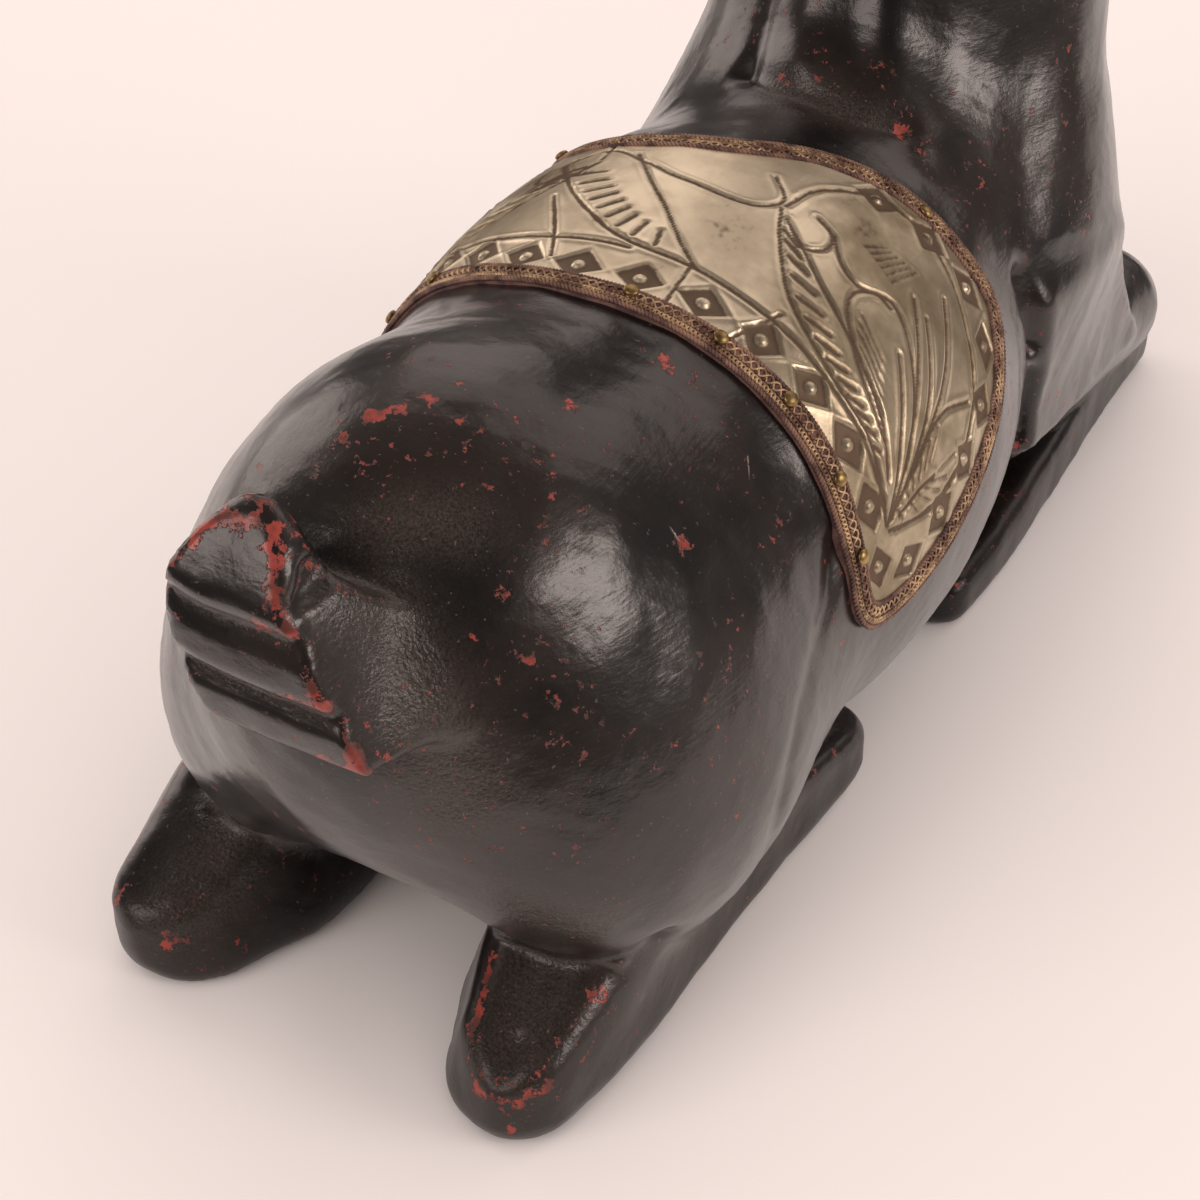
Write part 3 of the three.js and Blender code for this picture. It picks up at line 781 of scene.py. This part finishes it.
# %% Curves on the flat sheet
BARREL_RADIUS = 55.0
DEGREE = np.pi / 180 * BARREL_RADIUS  # millimetres on the sheet for a degree round the barrel
OUTLINE = [
    (-93.5, 36, 36),
    (-91, 44.5, 27),
    (-85, 48, 13),
    (-74, 48, -4),
    (-59, 47.5, -13),
    (-44, 48.5, -9),
    (-29, 52, 0),
    (-14, 55, 2),
    (0, 55.5, 0),
    (15, 53.5, -9),
    (30, 51.5, -16),
    (45, 50.3, -18.5),
    (60, 50.5, -19),
    (75, 52, -6),
    (86, 52, 14),
    (91.5, 48, 28),
    (93.8, 39, 39),
]  # degrees round the barrel, then y of the rear edge and of the front edge


def curve_through(places, shares, closed=False):
    """Points of a smooth curve through the given places, at shares of its spans."""
    places = np.array(places, float)
    if closed:
        around = np.concatenate([places[-1:], places, places[:2]])
        spans = len(places)
    else:
        around = np.concatenate([[2 * places[0] - places[1]], places, [2 * places[-1] - places[-2]]])
        spans = len(places) - 1
    reach = np.asarray(shares, float) * spans
    at = np.clip(np.floor(reach).astype(int), 0, spans - 1)
    t = (reach - at)[:, None]
    before, start, end, after = (around[at + k] for k in range(4))
    pairs = ((before, start), (start, end), (end, after))
    gaps = [np.linalg.norm(b - a, axis=1)[:, None] ** 0.5 for a, b in pairs]
    leave = (start - before) / gaps[0] - (end - before) / (gaps[0] + gaps[1]) + (end - start) / gaps[1]
    arrive = (end - start) / gaps[1] - (after - start) / (gaps[1] + gaps[2]) + (after - end) / gaps[2]
    leave, arrive = leave * gaps[1], arrive * gaps[1]
    bend = 2 * start - 2 * end + leave + arrive
    return start + leave * t + (3 * (end - start) - 2 * leave - arrive) * t**2 + bend * t**3


FINE_SHARES = np.linspace(0, 1, 2001)
rim_places = [(angle * DEGREE, rear) for angle, rear, _ in OUTLINE]
rim_places += [(angle * DEGREE, front) for angle, _, front in OUTLINE[-2:0:-1]]


def inset(shares, distance):
    """Places at a distance inside the outline, and the direction of the edge there."""
    shares = np.asarray(shares, float) % 1
    here = curve_through(rim_places, shares, True)
    ahead = curve_through(rim_places, (shares + 0.0005) % 1, True)
    along = unit(ahead - here)
    inwards = np.stack([along[:, 1], -along[:, 0]], axis=1)
    return here + inwards * np.reshape(distance, (-1, 1)), along


def length_along(distance):
    """Length along a line inside the outline, at fine shares of the outline."""
    gaps = np.linalg.norm(np.diff(inset(FINE_SHARES, distance)[0], axis=0), axis=1)
    return np.concatenate([[0], np.cumsum(gaps)])


def even_shares(distance, spacing):
    """Shares of the outline that stand evenly apart along a line inside it."""
    length = length_along(distance)
    count = int(round(length[-1] / spacing))
    return np.interp(np.arange(count) / count * length[-1], length, FINE_SHARES)


# %% [markdown]
# The pattern itself: a large loop on each flank with a fan of lines that meet at the low tip, two long
# leaves filled with small punched strokes, and a curl. The engraver worked by eye, so the left flank is
# a mirrored copy of the right one that sits a little closer to the spine.

# %% The engraved lines
RIGHT_FLANK = {
    "leaf_rear": [(18.3, 14.5), (21.8, 21.4), (32, 32.8), (45.6, 36.6), (57.8, 36.8), (73.9, 39.9)],
    "leaf_front": [(20.3, 16.2), (33.2, 24.5), (48.6, 29.6), (58.7, 32.8), (66.6, 36.5)],
    "loop": [
        (18.7, 13.3), (20.8, 3.1), (30.7, -6.9), (43.9, -7.9), (55.5, -3.1), (67.7, 5.6), (75, 15.5),
        (77.5, 29.3), (75.2, 39.5),
    ],
    "curl": [(22.2, 17.8), (25.8, 20.1), (28.9, 17), (28.2, 12.8), (24.1, 11.2)],
    "curl_tail": [
        (28.4, 12.4), (33.2, 17.2), (37.3, 17.6), (43.7, 13.5), (52.9, 18), (63.9, 27.4), (69.8, 34.7)
    ],
    "petal": [(44, 14.8), (40.7, 15.2), (37.6, 20), (39.3, 24.4), (48.4, 30.8), (60.1, 33.8)],
    "fan_1": [(50.6, 20.3), (62.4, 30), (74, 39.5)],
    "fan_2": [(45.7, 7.8), (58.9, 21.9), (74, 39.5)],
    "fan_3": [(49.8, 8.3), (61.9, 20.2), (74, 39.5)],
    "fan_4": [(49.9, -0.4), (60.2, 12.2), (69.6, 31.5), (74, 39.5)],
    "small_leaf_rear": [(67.1, 7.6), (64.7, 17), (69.6, 31.5), (73.6, 38.7)],
    "small_leaf_front": [(68.5, 6.1), (76.3, 18), (78, 26), (76, 38.2)],
    "small_leaf_rib": [(72.7, 24.3), (72.8, 29.5), (74.1, 36.2)],
}
MIDDLE = {
    "border": [
        (-26.9, 13.7), (-18.9, 24.6), (-10.2, 32.6), (-0.8, 37.9), (14, 38.4), (32.3, 38), (57.5, 38),
        (73.9, 39.9),
    ],
    "border_inner": [(-12.2, 11.1), (-4.1, 20.9), (2.1, 27.2), (9.3, 34.3), (14.8, 38.4)],
    "left_border": [(2.4, 39.7), (-15.3, 40.3), (-35.5, 38.1), (-48.5, 35), (-60, 36), (-73.9, 39.9)],
    "left_tick": [(-21, 27), (-13.7, 38.8), (-10.4, 45.7)],
    "front_line": [(-9.4, 14), (0, 18), (14.1, 18), (17.6, 12.5), (13.3, 7.1)],
    "left_front_line": [(-9.4, 14), (-20, 9), (-26.9, 13.7)],
    "seam_left": [(14, 38.4), (15.1, 49.6)],
    "seam_right": [(31.5, 35.9), (27.6, 47.7)],
}
HATCHES = [
    ("small_leaf_rear", "small_leaf_rib", 7, 0.35, 0.9, 0.65),
    ("small_leaf_rib", "small_leaf_front", 6, 0.1, 0.9, 0.65),
    ("petal", "fan_1", 6, 0.42, 0.8, 0.49),
]  # between which lines, how many strokes, from where to where along them, and how far across
SHORT_STROKES = [
    [(33.5 + 1.5 * k, 8.5 + 0.3 * k), (36 + 1.4 * k, 4.2 - 0.4 * k)] for k in range(6)
]

# %% [markdown]
# Each place above is an angle round the barrel and a distance back. The helpers turn it into millimetres
# on the flat sheet, mirror it to the left flank, draw a smooth line through a row of places, and set
# short strokes between two lines.

# %% From places to lines on the sheet
FLOW = np.linspace(0, 1, 25)
LEFT_SHIFT = 12  # degrees


def on_sheet(places):
    return np.array(places, float) * [DEGREE, 1]


def on_left_flank(places):
    """The mirrored place on the left flank, which sits closer to the spine at the top."""
    places = np.array(places, float)
    shift = LEFT_SHIFT * ramp(places[:, 0], 18, 68)
    return np.stack([-places[:, 0] - shift, places[:, 1]], axis=1)


def hatch(first, second, count, start, end, far, near=0.15, lean=0.05):
    """Short strokes between two lines, from a near to a far share of the way across."""
    shares = np.linspace(start, end, count)
    a, b = curve_through(first, shares), curve_through(second, np.clip(shares + lean, 0, 1))
    return list(np.stack([a * (1 - near) + b * near, a * (1 - far) + b * far], axis=1))


def drops(first, second, count, start, end):
    """Short drops punched along the inner side of a line."""
    return hatch(first, second, count, start, end, 0.5, 0.14, 0.07)


lines = [curve_through(places, FLOW) for places in RIGHT_FLANK.values()]
strokes = []
for first, second, *where in HATCHES:
    strokes += hatch(RIGHT_FLANK[first], RIGHT_FLANK[second], *where)
strokes += SHORT_STROKES
punches = drops(RIGHT_FLANK["leaf_rear"], RIGHT_FLANK["leaf_front"], 13, 0.12, 0.82)
for group in (lines, strokes, punches):
    group += [on_left_flank(line) for line in group]
lines += [curve_through(places, FLOW) for places in MIDDLE.values()]
punches += drops(MIDDLE["border"], MIDDLE["border_inner"], 9, 0.08, 0.5)
print("engraved lines", len(lines), "and short strokes", len(strokes))

# %% [markdown]
# A row of lozenges runs round the cloth. Each is a diamond punched into the metal, with a small pearl
# left standing in its middle. The height of the sheet at any place is the sum of all this, and the share
# of old tarnish is high in every groove, where no polishing cloth can reach.

# %% Height and tarnish of the embossed sheet
LINE_CUT = (0.34, 0.42, 0.16, 1.0, 0.5)
STROKE_CUT = (0.2, 0.32, 0.07, 0.75, 0.35)
DROP_CUT = (0.3, 0.55, 0.12, 1.1, 0.4)  # depth and width, then height, distance and width of the bead
LOZENGE_INSET, LOZENGE_SPACING = 8.9, 11.6
LOZENGE_HALF = (5.1, 3.9)
PLAIN_FRONT = (-60, 22)  # degrees where the front border is rubbed plain


def gaps_to(group, flat, reach):
    """How far places on the sheet are from the nearest line of a group, where one is in reach."""
    gaps = np.full(len(flat), 99.0)
    for line in group:
        path = on_sheet(line)
        near = np.all((flat > path.min(axis=0) - reach) & (flat < path.max(axis=0) + reach), axis=1)
        gaps[near] = np.minimum(gaps[near], distance_to(flat[near], path))
    return gaps


def cut(gaps, depth, width, bead, away, bead_width):
    """A groove, and beside it the bead of metal that the tool has pushed aside."""
    return bead * glow(gaps - away, bead_width) - depth * glow(gaps, width)


def emboss(flat):
    """Height above the plain sheet and share of tarnish at places on the flat sheet."""
    to_line = gaps_to(lines, flat, 3)
    to_stroke = gaps_to(strokes, flat, 2)
    to_drop = gaps_to(punches, flat, 3)
    height = cut(to_line, *LINE_CUT) + cut(to_stroke, *STROKE_CUT) + cut(to_drop, *DROP_CUT)
    in_lines = np.maximum(glow(to_line, LINE_CUT[1]), 0.65 * glow(to_stroke, 0.4))
    tarnish = np.maximum(in_lines, 0.9 * glow(to_drop, 0.6))
    centres, alongs = inset(even_shares(LOZENGE_INSET, LOZENGE_SPACING), LOZENGE_INSET)
    generator = np.random.default_rng(3)
    for centre, along in zip(centres, alongs):
        half = np.array(LOZENGE_HALF) * generator.uniform(0.86, 1.06, 2)
        if centre[1] < 27 and PLAIN_FRONT[0] < centre[0] / DEGREE < PLAIN_FRONT[1]:
            continue
        near = np.abs(flat - centre).max(axis=1) < 7.5
        reach = flat[near] - centre
        across = np.array([along[1], -along[0]])
        diamond = np.abs(reach @ along) / half[0] + np.abs(reach @ across) / half[1]
        pearl = np.linalg.norm(reach, axis=1)
        hollow = 1 - ramp(diamond, 0.86, 1.02)
        height[near] = height[near] * (1 - hollow) - 0.42 * hollow + 0.14 * glow(diamond - 1.18, 0.13)
        height[near] += 0.6 * (1 - ramp(pearl, 0.75, 1.3))
        tarnish[near] = np.maximum(tarnish[near], hollow * ramp(pearl, 0.9, 1.5))
    level = np.concatenate([flat, np.zeros((len(flat), 1))], axis=1)
    return height + 0.07 * ripple(level, 9, 5) + 0.16 * ripple(level, 24, 6), tarnish


# %% [markdown]
# ## Lay the sheet on the wood
# A fine grid is stretched over the flat pattern, from one low tip of the cloth to the other. Each of its
# points then goes out along a ray from the middle of the barrel until it meets the wood, and is lifted
# off it by the thickness of the sheet and its embossing. The rim turns down into the wood, under the
# braid.

# %% The metal cloth
BRAID_WIDTH = 5.4
SHEET_LIFT = 0.95
RIM_DEPTH = 1.2
BARREL_HEIGHT, BARREL_REACH = 56.5, 57.0  # the middle of the barrel, and a first guess of its surface
GRID_ALONG, GRID_ACROSS = 460, 190


def trunk(points):
    return join(TRUNK, points)


def on_wood(flat, lift):
    """Places on the trunk for places on the flat sheet, lifted off the wood."""
    angle = flat[:, 0] / DEGREE * np.pi / 180
    outwards = np.stack([-np.sin(angle), np.zeros(len(angle)), np.cos(angle)], axis=1)
    middle = np.stack([np.zeros(len(angle)), flat[:, 1], np.full(len(angle), BARREL_HEIGHT)], axis=1)
    reach = np.full(len(angle), BARREL_REACH)
    for _ in range(14):
        reach = reach - trunk(middle + outwards * reach[:, None])
    points = middle + outwards * reach[:, None]
    return points + probe(trunk, points)[1] * np.reshape(lift, (-1, 1))


def grid_piece(name, along, across):
    """A flat grid, and the two shares of each of its points, along and across."""
    mesh = bpy.data.meshes.new(name)
    form = bmesh.new()
    bmesh.ops.create_grid(form, x_segments=along, y_segments=across, size=0.5)
    form.to_mesh(mesh)
    form.free()
    return new_piece(name, mesh), np.clip(points_of(mesh)[:, :2] + 0.5, 0, 1)


def on_flat_sheet(shares):
    """Places on the flat sheet for the shares of the grid, and which of them are its rim."""
    rim = np.array([1 / GRID_ALONG, 1 / GRID_ACROSS])
    inner = np.clip(shares, rim, 1 - rim)
    on_rim = np.any(np.abs(inner - shares) > 1e-6, axis=1)
    inner = (inner - rim) / (1 - 2 * rim)
    edge = BRAID_WIDTH - 0.4
    rear, front = inset(0.5 * inner[:, 0], edge)[0], inset(1 - 0.5 * inner[:, 0], edge)[0]
    return rear + (front - rear) * inner[:, 1:], on_rim


sheet, shares = grid_piece("embossed_cloth", GRID_ALONG, GRID_ACROSS)
flat, on_rim = on_flat_sheet(shares)
height, tarnish = emboss(flat)
lift = np.where(on_rim, -RIM_DEPTH, SHEET_LIFT + height)
move_points(sheet.data, to_frame(on_wood(flat, lift)))
paint(sheet.data, "tarnish", tarnish)
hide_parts("saddle_cloth")
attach(sheet, "root")
print("embossed cloth", triangles_in(sheet.data), "triangles")

# %% [markdown]
# ## Old white metal
# The sheet looks like an old nickel alloy with a yellow-grey cast, finely scratched where it is proud
# and brown-grey in the grooves. The share of tarnish was painted together with the embossing, so colour
# and gloss can both follow it, and a groove is never clean by mistake.

# %% White metal
BRIGHT_METAL = (0.90, 0.79, 0.59, 1)
DULL_AND_SHADED_METAL = (0.34, 0.28, 0.185, 1)
TARNISH = (0.19, 0.135, 0.095, 1)

white_metal, tree = new_material("old white metal")
place = add_node(tree, "TexCoord", output=3)
cloudy = noise(tree, place, 60, 4, 0.6)
fine = noise(tree, place, 900, 3)
scratches = noise(tree, stretched(tree, place, (1, 0.08, 0.3)), 1500, 3)
grime = plus(tree, painted(tree, "tarnish"), maths(tree, "SUBTRACT", fine, 0.5), 0.7)
grime = maths(tree, "ADD", grime, steps(tree, cloudy, 0.54, 0.72, 0, 0.45))
grime = steps(tree, grime, 0.2, 0.8)
# Painted shade: the colour turns duller towards the flanks and stays bright along the back, standing in for
# the flanks catching less light; small clouds add a random duller tone.
from_spine = maths(tree, "ABSOLUTE", add_node(tree, "SeparateXYZ", {"Vector": place}), 0)
flank_shade = steps(tree, from_spine, 0.014, 0.034, -0.25, 0.55)  # painted shade: duller towards the flanks, bright along the back
tone_and_flank_shade = maths(tree, "ADD", flank_shade, steps(tree, cloudy, 0.35, 0.65, 0, 0.5))
colour = mix_colours(tree, tone_and_flank_shade, BRIGHT_METAL, DULL_AND_SHADED_METAL)
colour = mix_colours(tree, maths(tree, "MULTIPLY", grime, 0.92), colour, TARNISH)
rough = steps(tree, cloudy, 0.3, 0.7, 0.34, 0.5)
rough = plus(tree, rough, grime, 0.25)
height = plus(tree, maths(tree, "MULTIPLY", fine, 0.03), scratches, 0.03)
relief = add_node(tree, "Bump", {"Height": height, "Distance": MM, "Strength": 1.0})
shade(tree, colour, rough, relief).inputs["Metallic"].default_value = 0.93
sheet.data.materials.append(white_metal)

# %% [markdown]
# ## The braid
# A woven braid is glued round the edge of the cloth. Its ground is a ribbed band of purple-brown thread.
# Two twisted cords bind its edges, two gold wires cross each other along it like a row of small
# diamonds, and a row of tiny knots stands between them. Threads are curves with a round section, which
# is how a thread is thought of, and they become meshes at the end.

# %% Helpers for threads
BRAID_LIFT = 0.2
BAND_HEIGHT = 1.0
OUTLINE_LENGTH = float(length_along(0)[-1])
braid_length = length_along(BRAID_WIDTH / 2)
even_scale = np.interp(FINE_SHARES, braid_length / braid_length[-1], FINE_SHARES)


def along_braid(count, distance, lift):
    """Places along the braid, at a distance inside its outer edge and a height over the wood."""
    shares = np.interp(np.arange(count) / count, FINE_SHARES, even_scale)
    return on_wood(inset(shares, distance)[0], lift)


def thread(name, rows, radius):
    """Closed threads through rows of places, as one mesh."""
    curve = bpy.data.curves.new(name, "CURVE")
    curve.dimensions = "3D"
    curve.bevel_depth = radius * MM
    curve.bevel_resolution = 1  # a coarse section is enough for a thread this thin
    for row in rows:
        spline = curve.splines.new("POLY")
        spline.points.add(len(row) - 1)
        weighted = np.concatenate([to_frame(row), np.ones((len(row), 1))], axis=1)
        spline.points.foreach_set("co", weighted.ravel())
        spline.use_cyclic_u = True
    carrier = bpy.data.objects.new(name + " path", curve)
    mesh = bpy.data.meshes.new_from_object(carrier)
    mesh.name = name
    bpy.data.objects.remove(carrier)
    return new_piece(name, mesh)


def dress(piece, material, *replaced):
    piece.data.materials.clear()
    piece.data.materials.append(material)
    if replaced:
        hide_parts(*replaced)
    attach(piece, "root")
    print(piece.name, triangles_in(piece.data), "triangles")


# %% [markdown]
# All threads share one simple recipe: a light and a dark colour of the same thread, mixed in small
# clouds, because old metal thread is bright only where the dirt has been rubbed off.

# %% Materials of the braid
def thread_material(name, light, dark, metallic, roughness, scale):
    material, tree = new_material(name)
    place = add_node(tree, "TexCoord", output=3)
    worn_look = steps(tree, noise(tree, place, scale, 4, 0.6), 0.35, 0.65)
    surface = tree.nodes["Principled BSDF"]
    tree.links.new(mix_colours(tree, worn_look, dark, light), surface.inputs["Base Color"])
    surface.inputs["Metallic"].default_value = metallic
    surface.inputs["Roughness"].default_value = roughness
    return material


PURPLE, DARK_PURPLE = (0.17, 0.085, 0.070, 1), (0.055, 0.027, 0.030, 1)
BROWN, DARK_CORD = (0.28, 0.165, 0.12, 1), (0.075, 0.040, 0.036, 1)
GOLD, DIRTY_GOLD = (0.66, 0.47, 0.28, 1), (0.16, 0.085, 0.060, 1)
purple_thread = thread_material("purple-brown thread", PURPLE, DARK_PURPLE, 0.0, 0.7, 250)
cord_thread = thread_material("brown cord", BROWN, DARK_CORD, 0.3, 0.48, 220)
gold_wire = thread_material("old gold wire", GOLD, DIRTY_GOLD, 0.8, 0.42, 200)

# %% [markdown]
# The ground of the braid is a ribbed ribbon. It is a long grid wrapped round the cloth's outline, with
# rounded edges that turn down to the wood, and its ribs run across it in a slight zigzag, as they do in
# a woven tape.

# %% The woven band
BAND_STEPS, BAND_RIBS = 1600, 14
RIB_SPACING, RIB_HEIGHT = 0.95, 0.1
rib_count = int(round(OUTLINE_LENGTH / RIB_SPACING))


def on_band(shares):
    around, across = shares[:, 0] % 1, shares[:, 1]
    edge = np.abs(across * 2 - 1)
    height = BAND_HEIGHT * np.sqrt(np.maximum(0, 1 - edge**6)) - np.where(edge > 0.98, 0.9, 0)
    weave = np.sin(2 * np.pi * (around * rib_count + 0.25 * np.sin(across * 4 * np.pi)))
    height = height + RIB_HEIGHT * weave * (edge < 0.9)
    even = np.interp(around, FINE_SHARES, even_scale)
    return on_wood(inset(even, 0.1 + across * (BRAID_WIDTH - 0.2))[0], BRAID_LIFT + height)


band, shares = grid_piece("woven_band", BAND_STEPS, BAND_RIBS)
move_points(band.data, to_frame(on_band(shares)))
weld(band.data, band.data)
dress(band, purple_thread, "saddle_braid")

# %% [markdown]
# Each edge of the braid is bound by a cord of two threads. Two spirals half a turn apart look just like
# that, and they need no extra tool.

# %% Twisted edge cords
CORD_PITCH, CORD_TWIST, CORD_PLY, CORD_LIFT = 1.5, 0.26, 0.3, 1.05
CORD_LINES = (0.55, 4.85)  # how far inside the outer edge of the braid


def twisted(distance, phase, count=2400):
    turns = int(round(OUTLINE_LENGTH / CORD_PITCH))
    angle = 2 * np.pi * (np.arange(count) / count * turns + phase)
    lift = CORD_LIFT + CORD_TWIST * np.sin(angle)
    return along_braid(count, distance + CORD_TWIST * np.cos(angle), lift)


plies = [twisted(distance, phase) for distance in CORD_LINES for phase in (0, 0.5)]
dress(thread("edge_cords", plies, CORD_PLY), cord_thread)

# %% [markdown]
# Two wires that wave against each other leave a row of small diamonds between them. Where they cross,
# one lies over the other, so each wire also rises and falls a little.

# %% Crossing gold wires
WIRE_RADIUS, WIRE_RISE = 0.24, 0.12
WAVES = [
    (3.55, 0.85, 3.6, 1.34, 1600),
    (1.75, 0.55, 1.8, 1.3, 2000),
]  # distance inside the edge, half width, pitch, lift and number of points


def wave(distance, half, pitch, lift, count, phase):
    turns = int(round(OUTLINE_LENGTH / pitch))
    angle = 2 * np.pi * (np.arange(count) / count * turns + phase)
    over = WIRE_RISE * np.cos(2 * angle + 4 * np.pi * phase)
    return along_braid(count, distance + half * np.sin(angle), lift + over)


waves = [wave(*row, phase) for row in WAVES for phase in (0, 0.5)]
dress(thread("gold_wires", waves, WIRE_RADIUS), gold_wire)

# %% [markdown]
# A row of tiny knots stands between the two rows of wire. A knot this small is only a bead to the eye,
# so each one is a coarse ball.

# %% Knots
KNOT_SPACING, KNOT_RADIUS, KNOT_LINE, KNOT_LIFT = 1.8, 0.34, 2.65, 1.42
knot_mesh = bpy.data.meshes.new("knots")
knots = bmesh.new()
for place in to_frame(along_braid(int(OUTLINE_LENGTH / KNOT_SPACING), KNOT_LINE, KNOT_LIFT)):
    spot = Matrix.Translation(Vector(place))
    bmesh.ops.create_icosphere(knots, subdivisions=1, radius=KNOT_RADIUS * MM, matrix=spot)
knots.to_mesh(knot_mesh)
knots.free()
dress(new_piece("knots", knot_mesh), cord_thread)

# %% [markdown]
# ## Brass pins
# Small pins with round heads hold the braid down. A head could be turned from a profile, but a ball
# pressed flat and sunk into the threads looks the same at this size.

# %% Pin heads
PIN_RADIUS, PIN_SUNK = 1.4, 0.7
BRASS, DIRTY_BRASS = (0.50, 0.36, 0.15, 1), (0.24, 0.16, 0.07, 1)
brass = thread_material("dull brass", BRASS, DIRTY_BRASS, 0.95, 0.4, 500)


def pin_head(node):
    low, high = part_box(node)
    middle = (low + high) / 2
    place = to_carver([middle])
    lean = Vector(probe(trunk, place)[1][0])
    turn = lean.to_track_quat("Z", "Y").to_matrix().to_4x4()
    mesh = bpy.data.meshes.new(node + "_head")
    head = bmesh.new()
    bmesh.ops.create_uvsphere(head, u_segments=28, v_segments=14, radius=PIN_RADIUS * MM)
    bmesh.ops.scale(head, vec=(1, 1, 0.5), verts=head.verts)
    seat = Matrix.Translation(middle - lean * PIN_SUNK * MM)
    bmesh.ops.transform(head, matrix=seat @ turn, verts=head.verts)
    head.to_mesh(mesh)
    head.free()
    piece = new_piece(node + "_head", mesh)
    mesh.materials.append(brass)
    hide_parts(node)
    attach(piece, "root")


for number in range(1, 11):
    pin_head(f"brass_pin_{number}")

# %% [markdown]
# ## Floor, camera and light
# The figurine stands on a sheet of pale cotton. A cloth could be simulated, but its folds lie out of
# view, so one flat square with a dull pale finish is enough. It lies a hair under the wood, so that the
# two never fight.

# %% Floor
FLOOR_WIDTH = 1.2
FLOOR_PLACE = (0, -0.32, -0.0002)
floor = grid_piece("floor", 1, 1)[0]
floor.data.transform(Matrix.Translation(FLOOR_PLACE) @ Matrix.Scale(FLOOR_WIDTH, 4))
linen, tree = new_material("pale cotton")
surface = tree.nodes["Principled BSDF"]
surface.inputs["Base Color"].default_value = (0.88, 0.88, 0.88, 1)
surface.inputs["Roughness"].default_value = 0.9
surface.inputs["Specular IOR Level"].default_value = 0.1
floor.data.materials.append(linen)

# %% [markdown]
# The camera stands high behind the deer's right flank, so close that the far ends of the deer look
# smaller. Its place was found by matching the outlines of the barrel, the cloth and the legs.

# %% Camera
CAMERA_AZIMUTH, CAMERA_ELEVATION, CAMERA_ROLL = 211.307, 37.415, -1.066
CAMERA_DISTANCE = 417.7
CAMERA_TARGET = (0.63, 46.81, 40)
FOCAL_PIXELS = 2222.96
PHOTO_PIXELS = 1200


def direction(azimuth, elevation):
    a, e = np.radians(azimuth), np.radians(elevation)
    return Vector((np.sin(a) * np.cos(e), -np.cos(a) * np.cos(e), np.sin(e)))


target = Vector(to_frame(CAMERA_TARGET))
back = direction(CAMERA_AZIMUTH, CAMERA_ELEVATION)
right = (-back).cross(Vector((0, 0, 1))).normalized()
up = right.cross(-back)
roll = np.radians(CAMERA_ROLL)
turned_right = right * np.cos(roll) + up * np.sin(roll)
turned_up = up * np.cos(roll) - right * np.sin(roll)
camera_data = bpy.data.cameras.new("camera")
camera_data.sensor_width = 36
camera_data.lens = FOCAL_PIXELS / PHOTO_PIXELS * camera_data.sensor_width
camera_data.clip_start, camera_data.clip_end = 0.01, 20
camera = bpy.data.objects.new("camera", camera_data)
bpy.context.scene.collection.objects.link(camera)
axes = Matrix((turned_right, turned_up, back)).transposed().to_4x4()
camera.matrix_world = Matrix.Translation(target + back * CAMERA_DISTANCE * MM) @ axes
bpy.context.scene.camera = camera

# %% [markdown]
# On dark lacquer, one sees the lights rather than the colour, so every softbox stands where its
# reflection is seen. A small window to the right makes the bright patch on the hip, and a tall one to
# the left makes the pale edge of the rump. The room light and the ceiling give the wide soft reflections
# on the back and the neck, and a large light overhead brightens the floor without adding a reflection of
# its own.

# %% Lights
DAYLIGHT = (1.0, 0.85, 0.79)


def softbox(name, azimuth, elevation, distance, size, power, shows=True):
    data = bpy.data.lights.new(name, "AREA")
    data.shape = "RECTANGLE"
    data.size, data.size_y = size
    data.energy = power
    data.color = DAYLIGHT
    lamp = bpy.data.objects.new(name, data)
    away = direction(azimuth, elevation)
    lamp.location = target + away * distance
    lamp.rotation_mode = "QUATERNION"
    lamp.rotation_quaternion = away.to_track_quat("Z", "Y")
    lamp.visible_glossy = shows
    bpy.context.scene.collection.objects.link(lamp)


softbox("window_right", -82, 24.5, 1.4, (0.70, 0.30), 5.8)
softbox("window_left", 77, 18, 1.4, (0.7, 0.9), 3.6)
softbox("room_light", 157, 29, 1.6, (1.0, 0.5), 6.6)
softbox("ceiling", 6, 42, 1.6, (2.4, 1.3), 9.2)
softbox("overhead", -150, 62, 1.5, (1.8, 1.8), 9.2, shows=False)

# %% [markdown]
# The room around the figurine is one world with three colours: the pale wall that the eye sees behind
# the floor, the dark room that the lacquer mirrors, and the dim light that comes from all sides. A built
# room would give the same, but Light Path tells the three apart with one node.

# %% The room
ROOM_DIM = 0.5
ROOM_DARK = (0.075, 0.065, 0.06, 1)
ROOM_PALE = (0.92, 0.78, 0.73, 1)
world = bpy.data.worlds.new("room")
world.use_nodes = True
tree = world.node_tree
dim = tuple(channel * ROOM_DIM for channel in DAYLIGHT) + (1,)
glossy = add_node(tree, "LightPath", output=3)
seen = mix_colours(tree, glossy, dim, ROOM_DARK)
seen = mix_colours(tree, add_node(tree, "LightPath"), seen, ROOM_PALE)
tree.links.new(seen, tree.nodes["Background"].inputs["Color"])
bpy.context.scene.world = world
bpy.context.scene.view_settings.view_transform = "Standard"
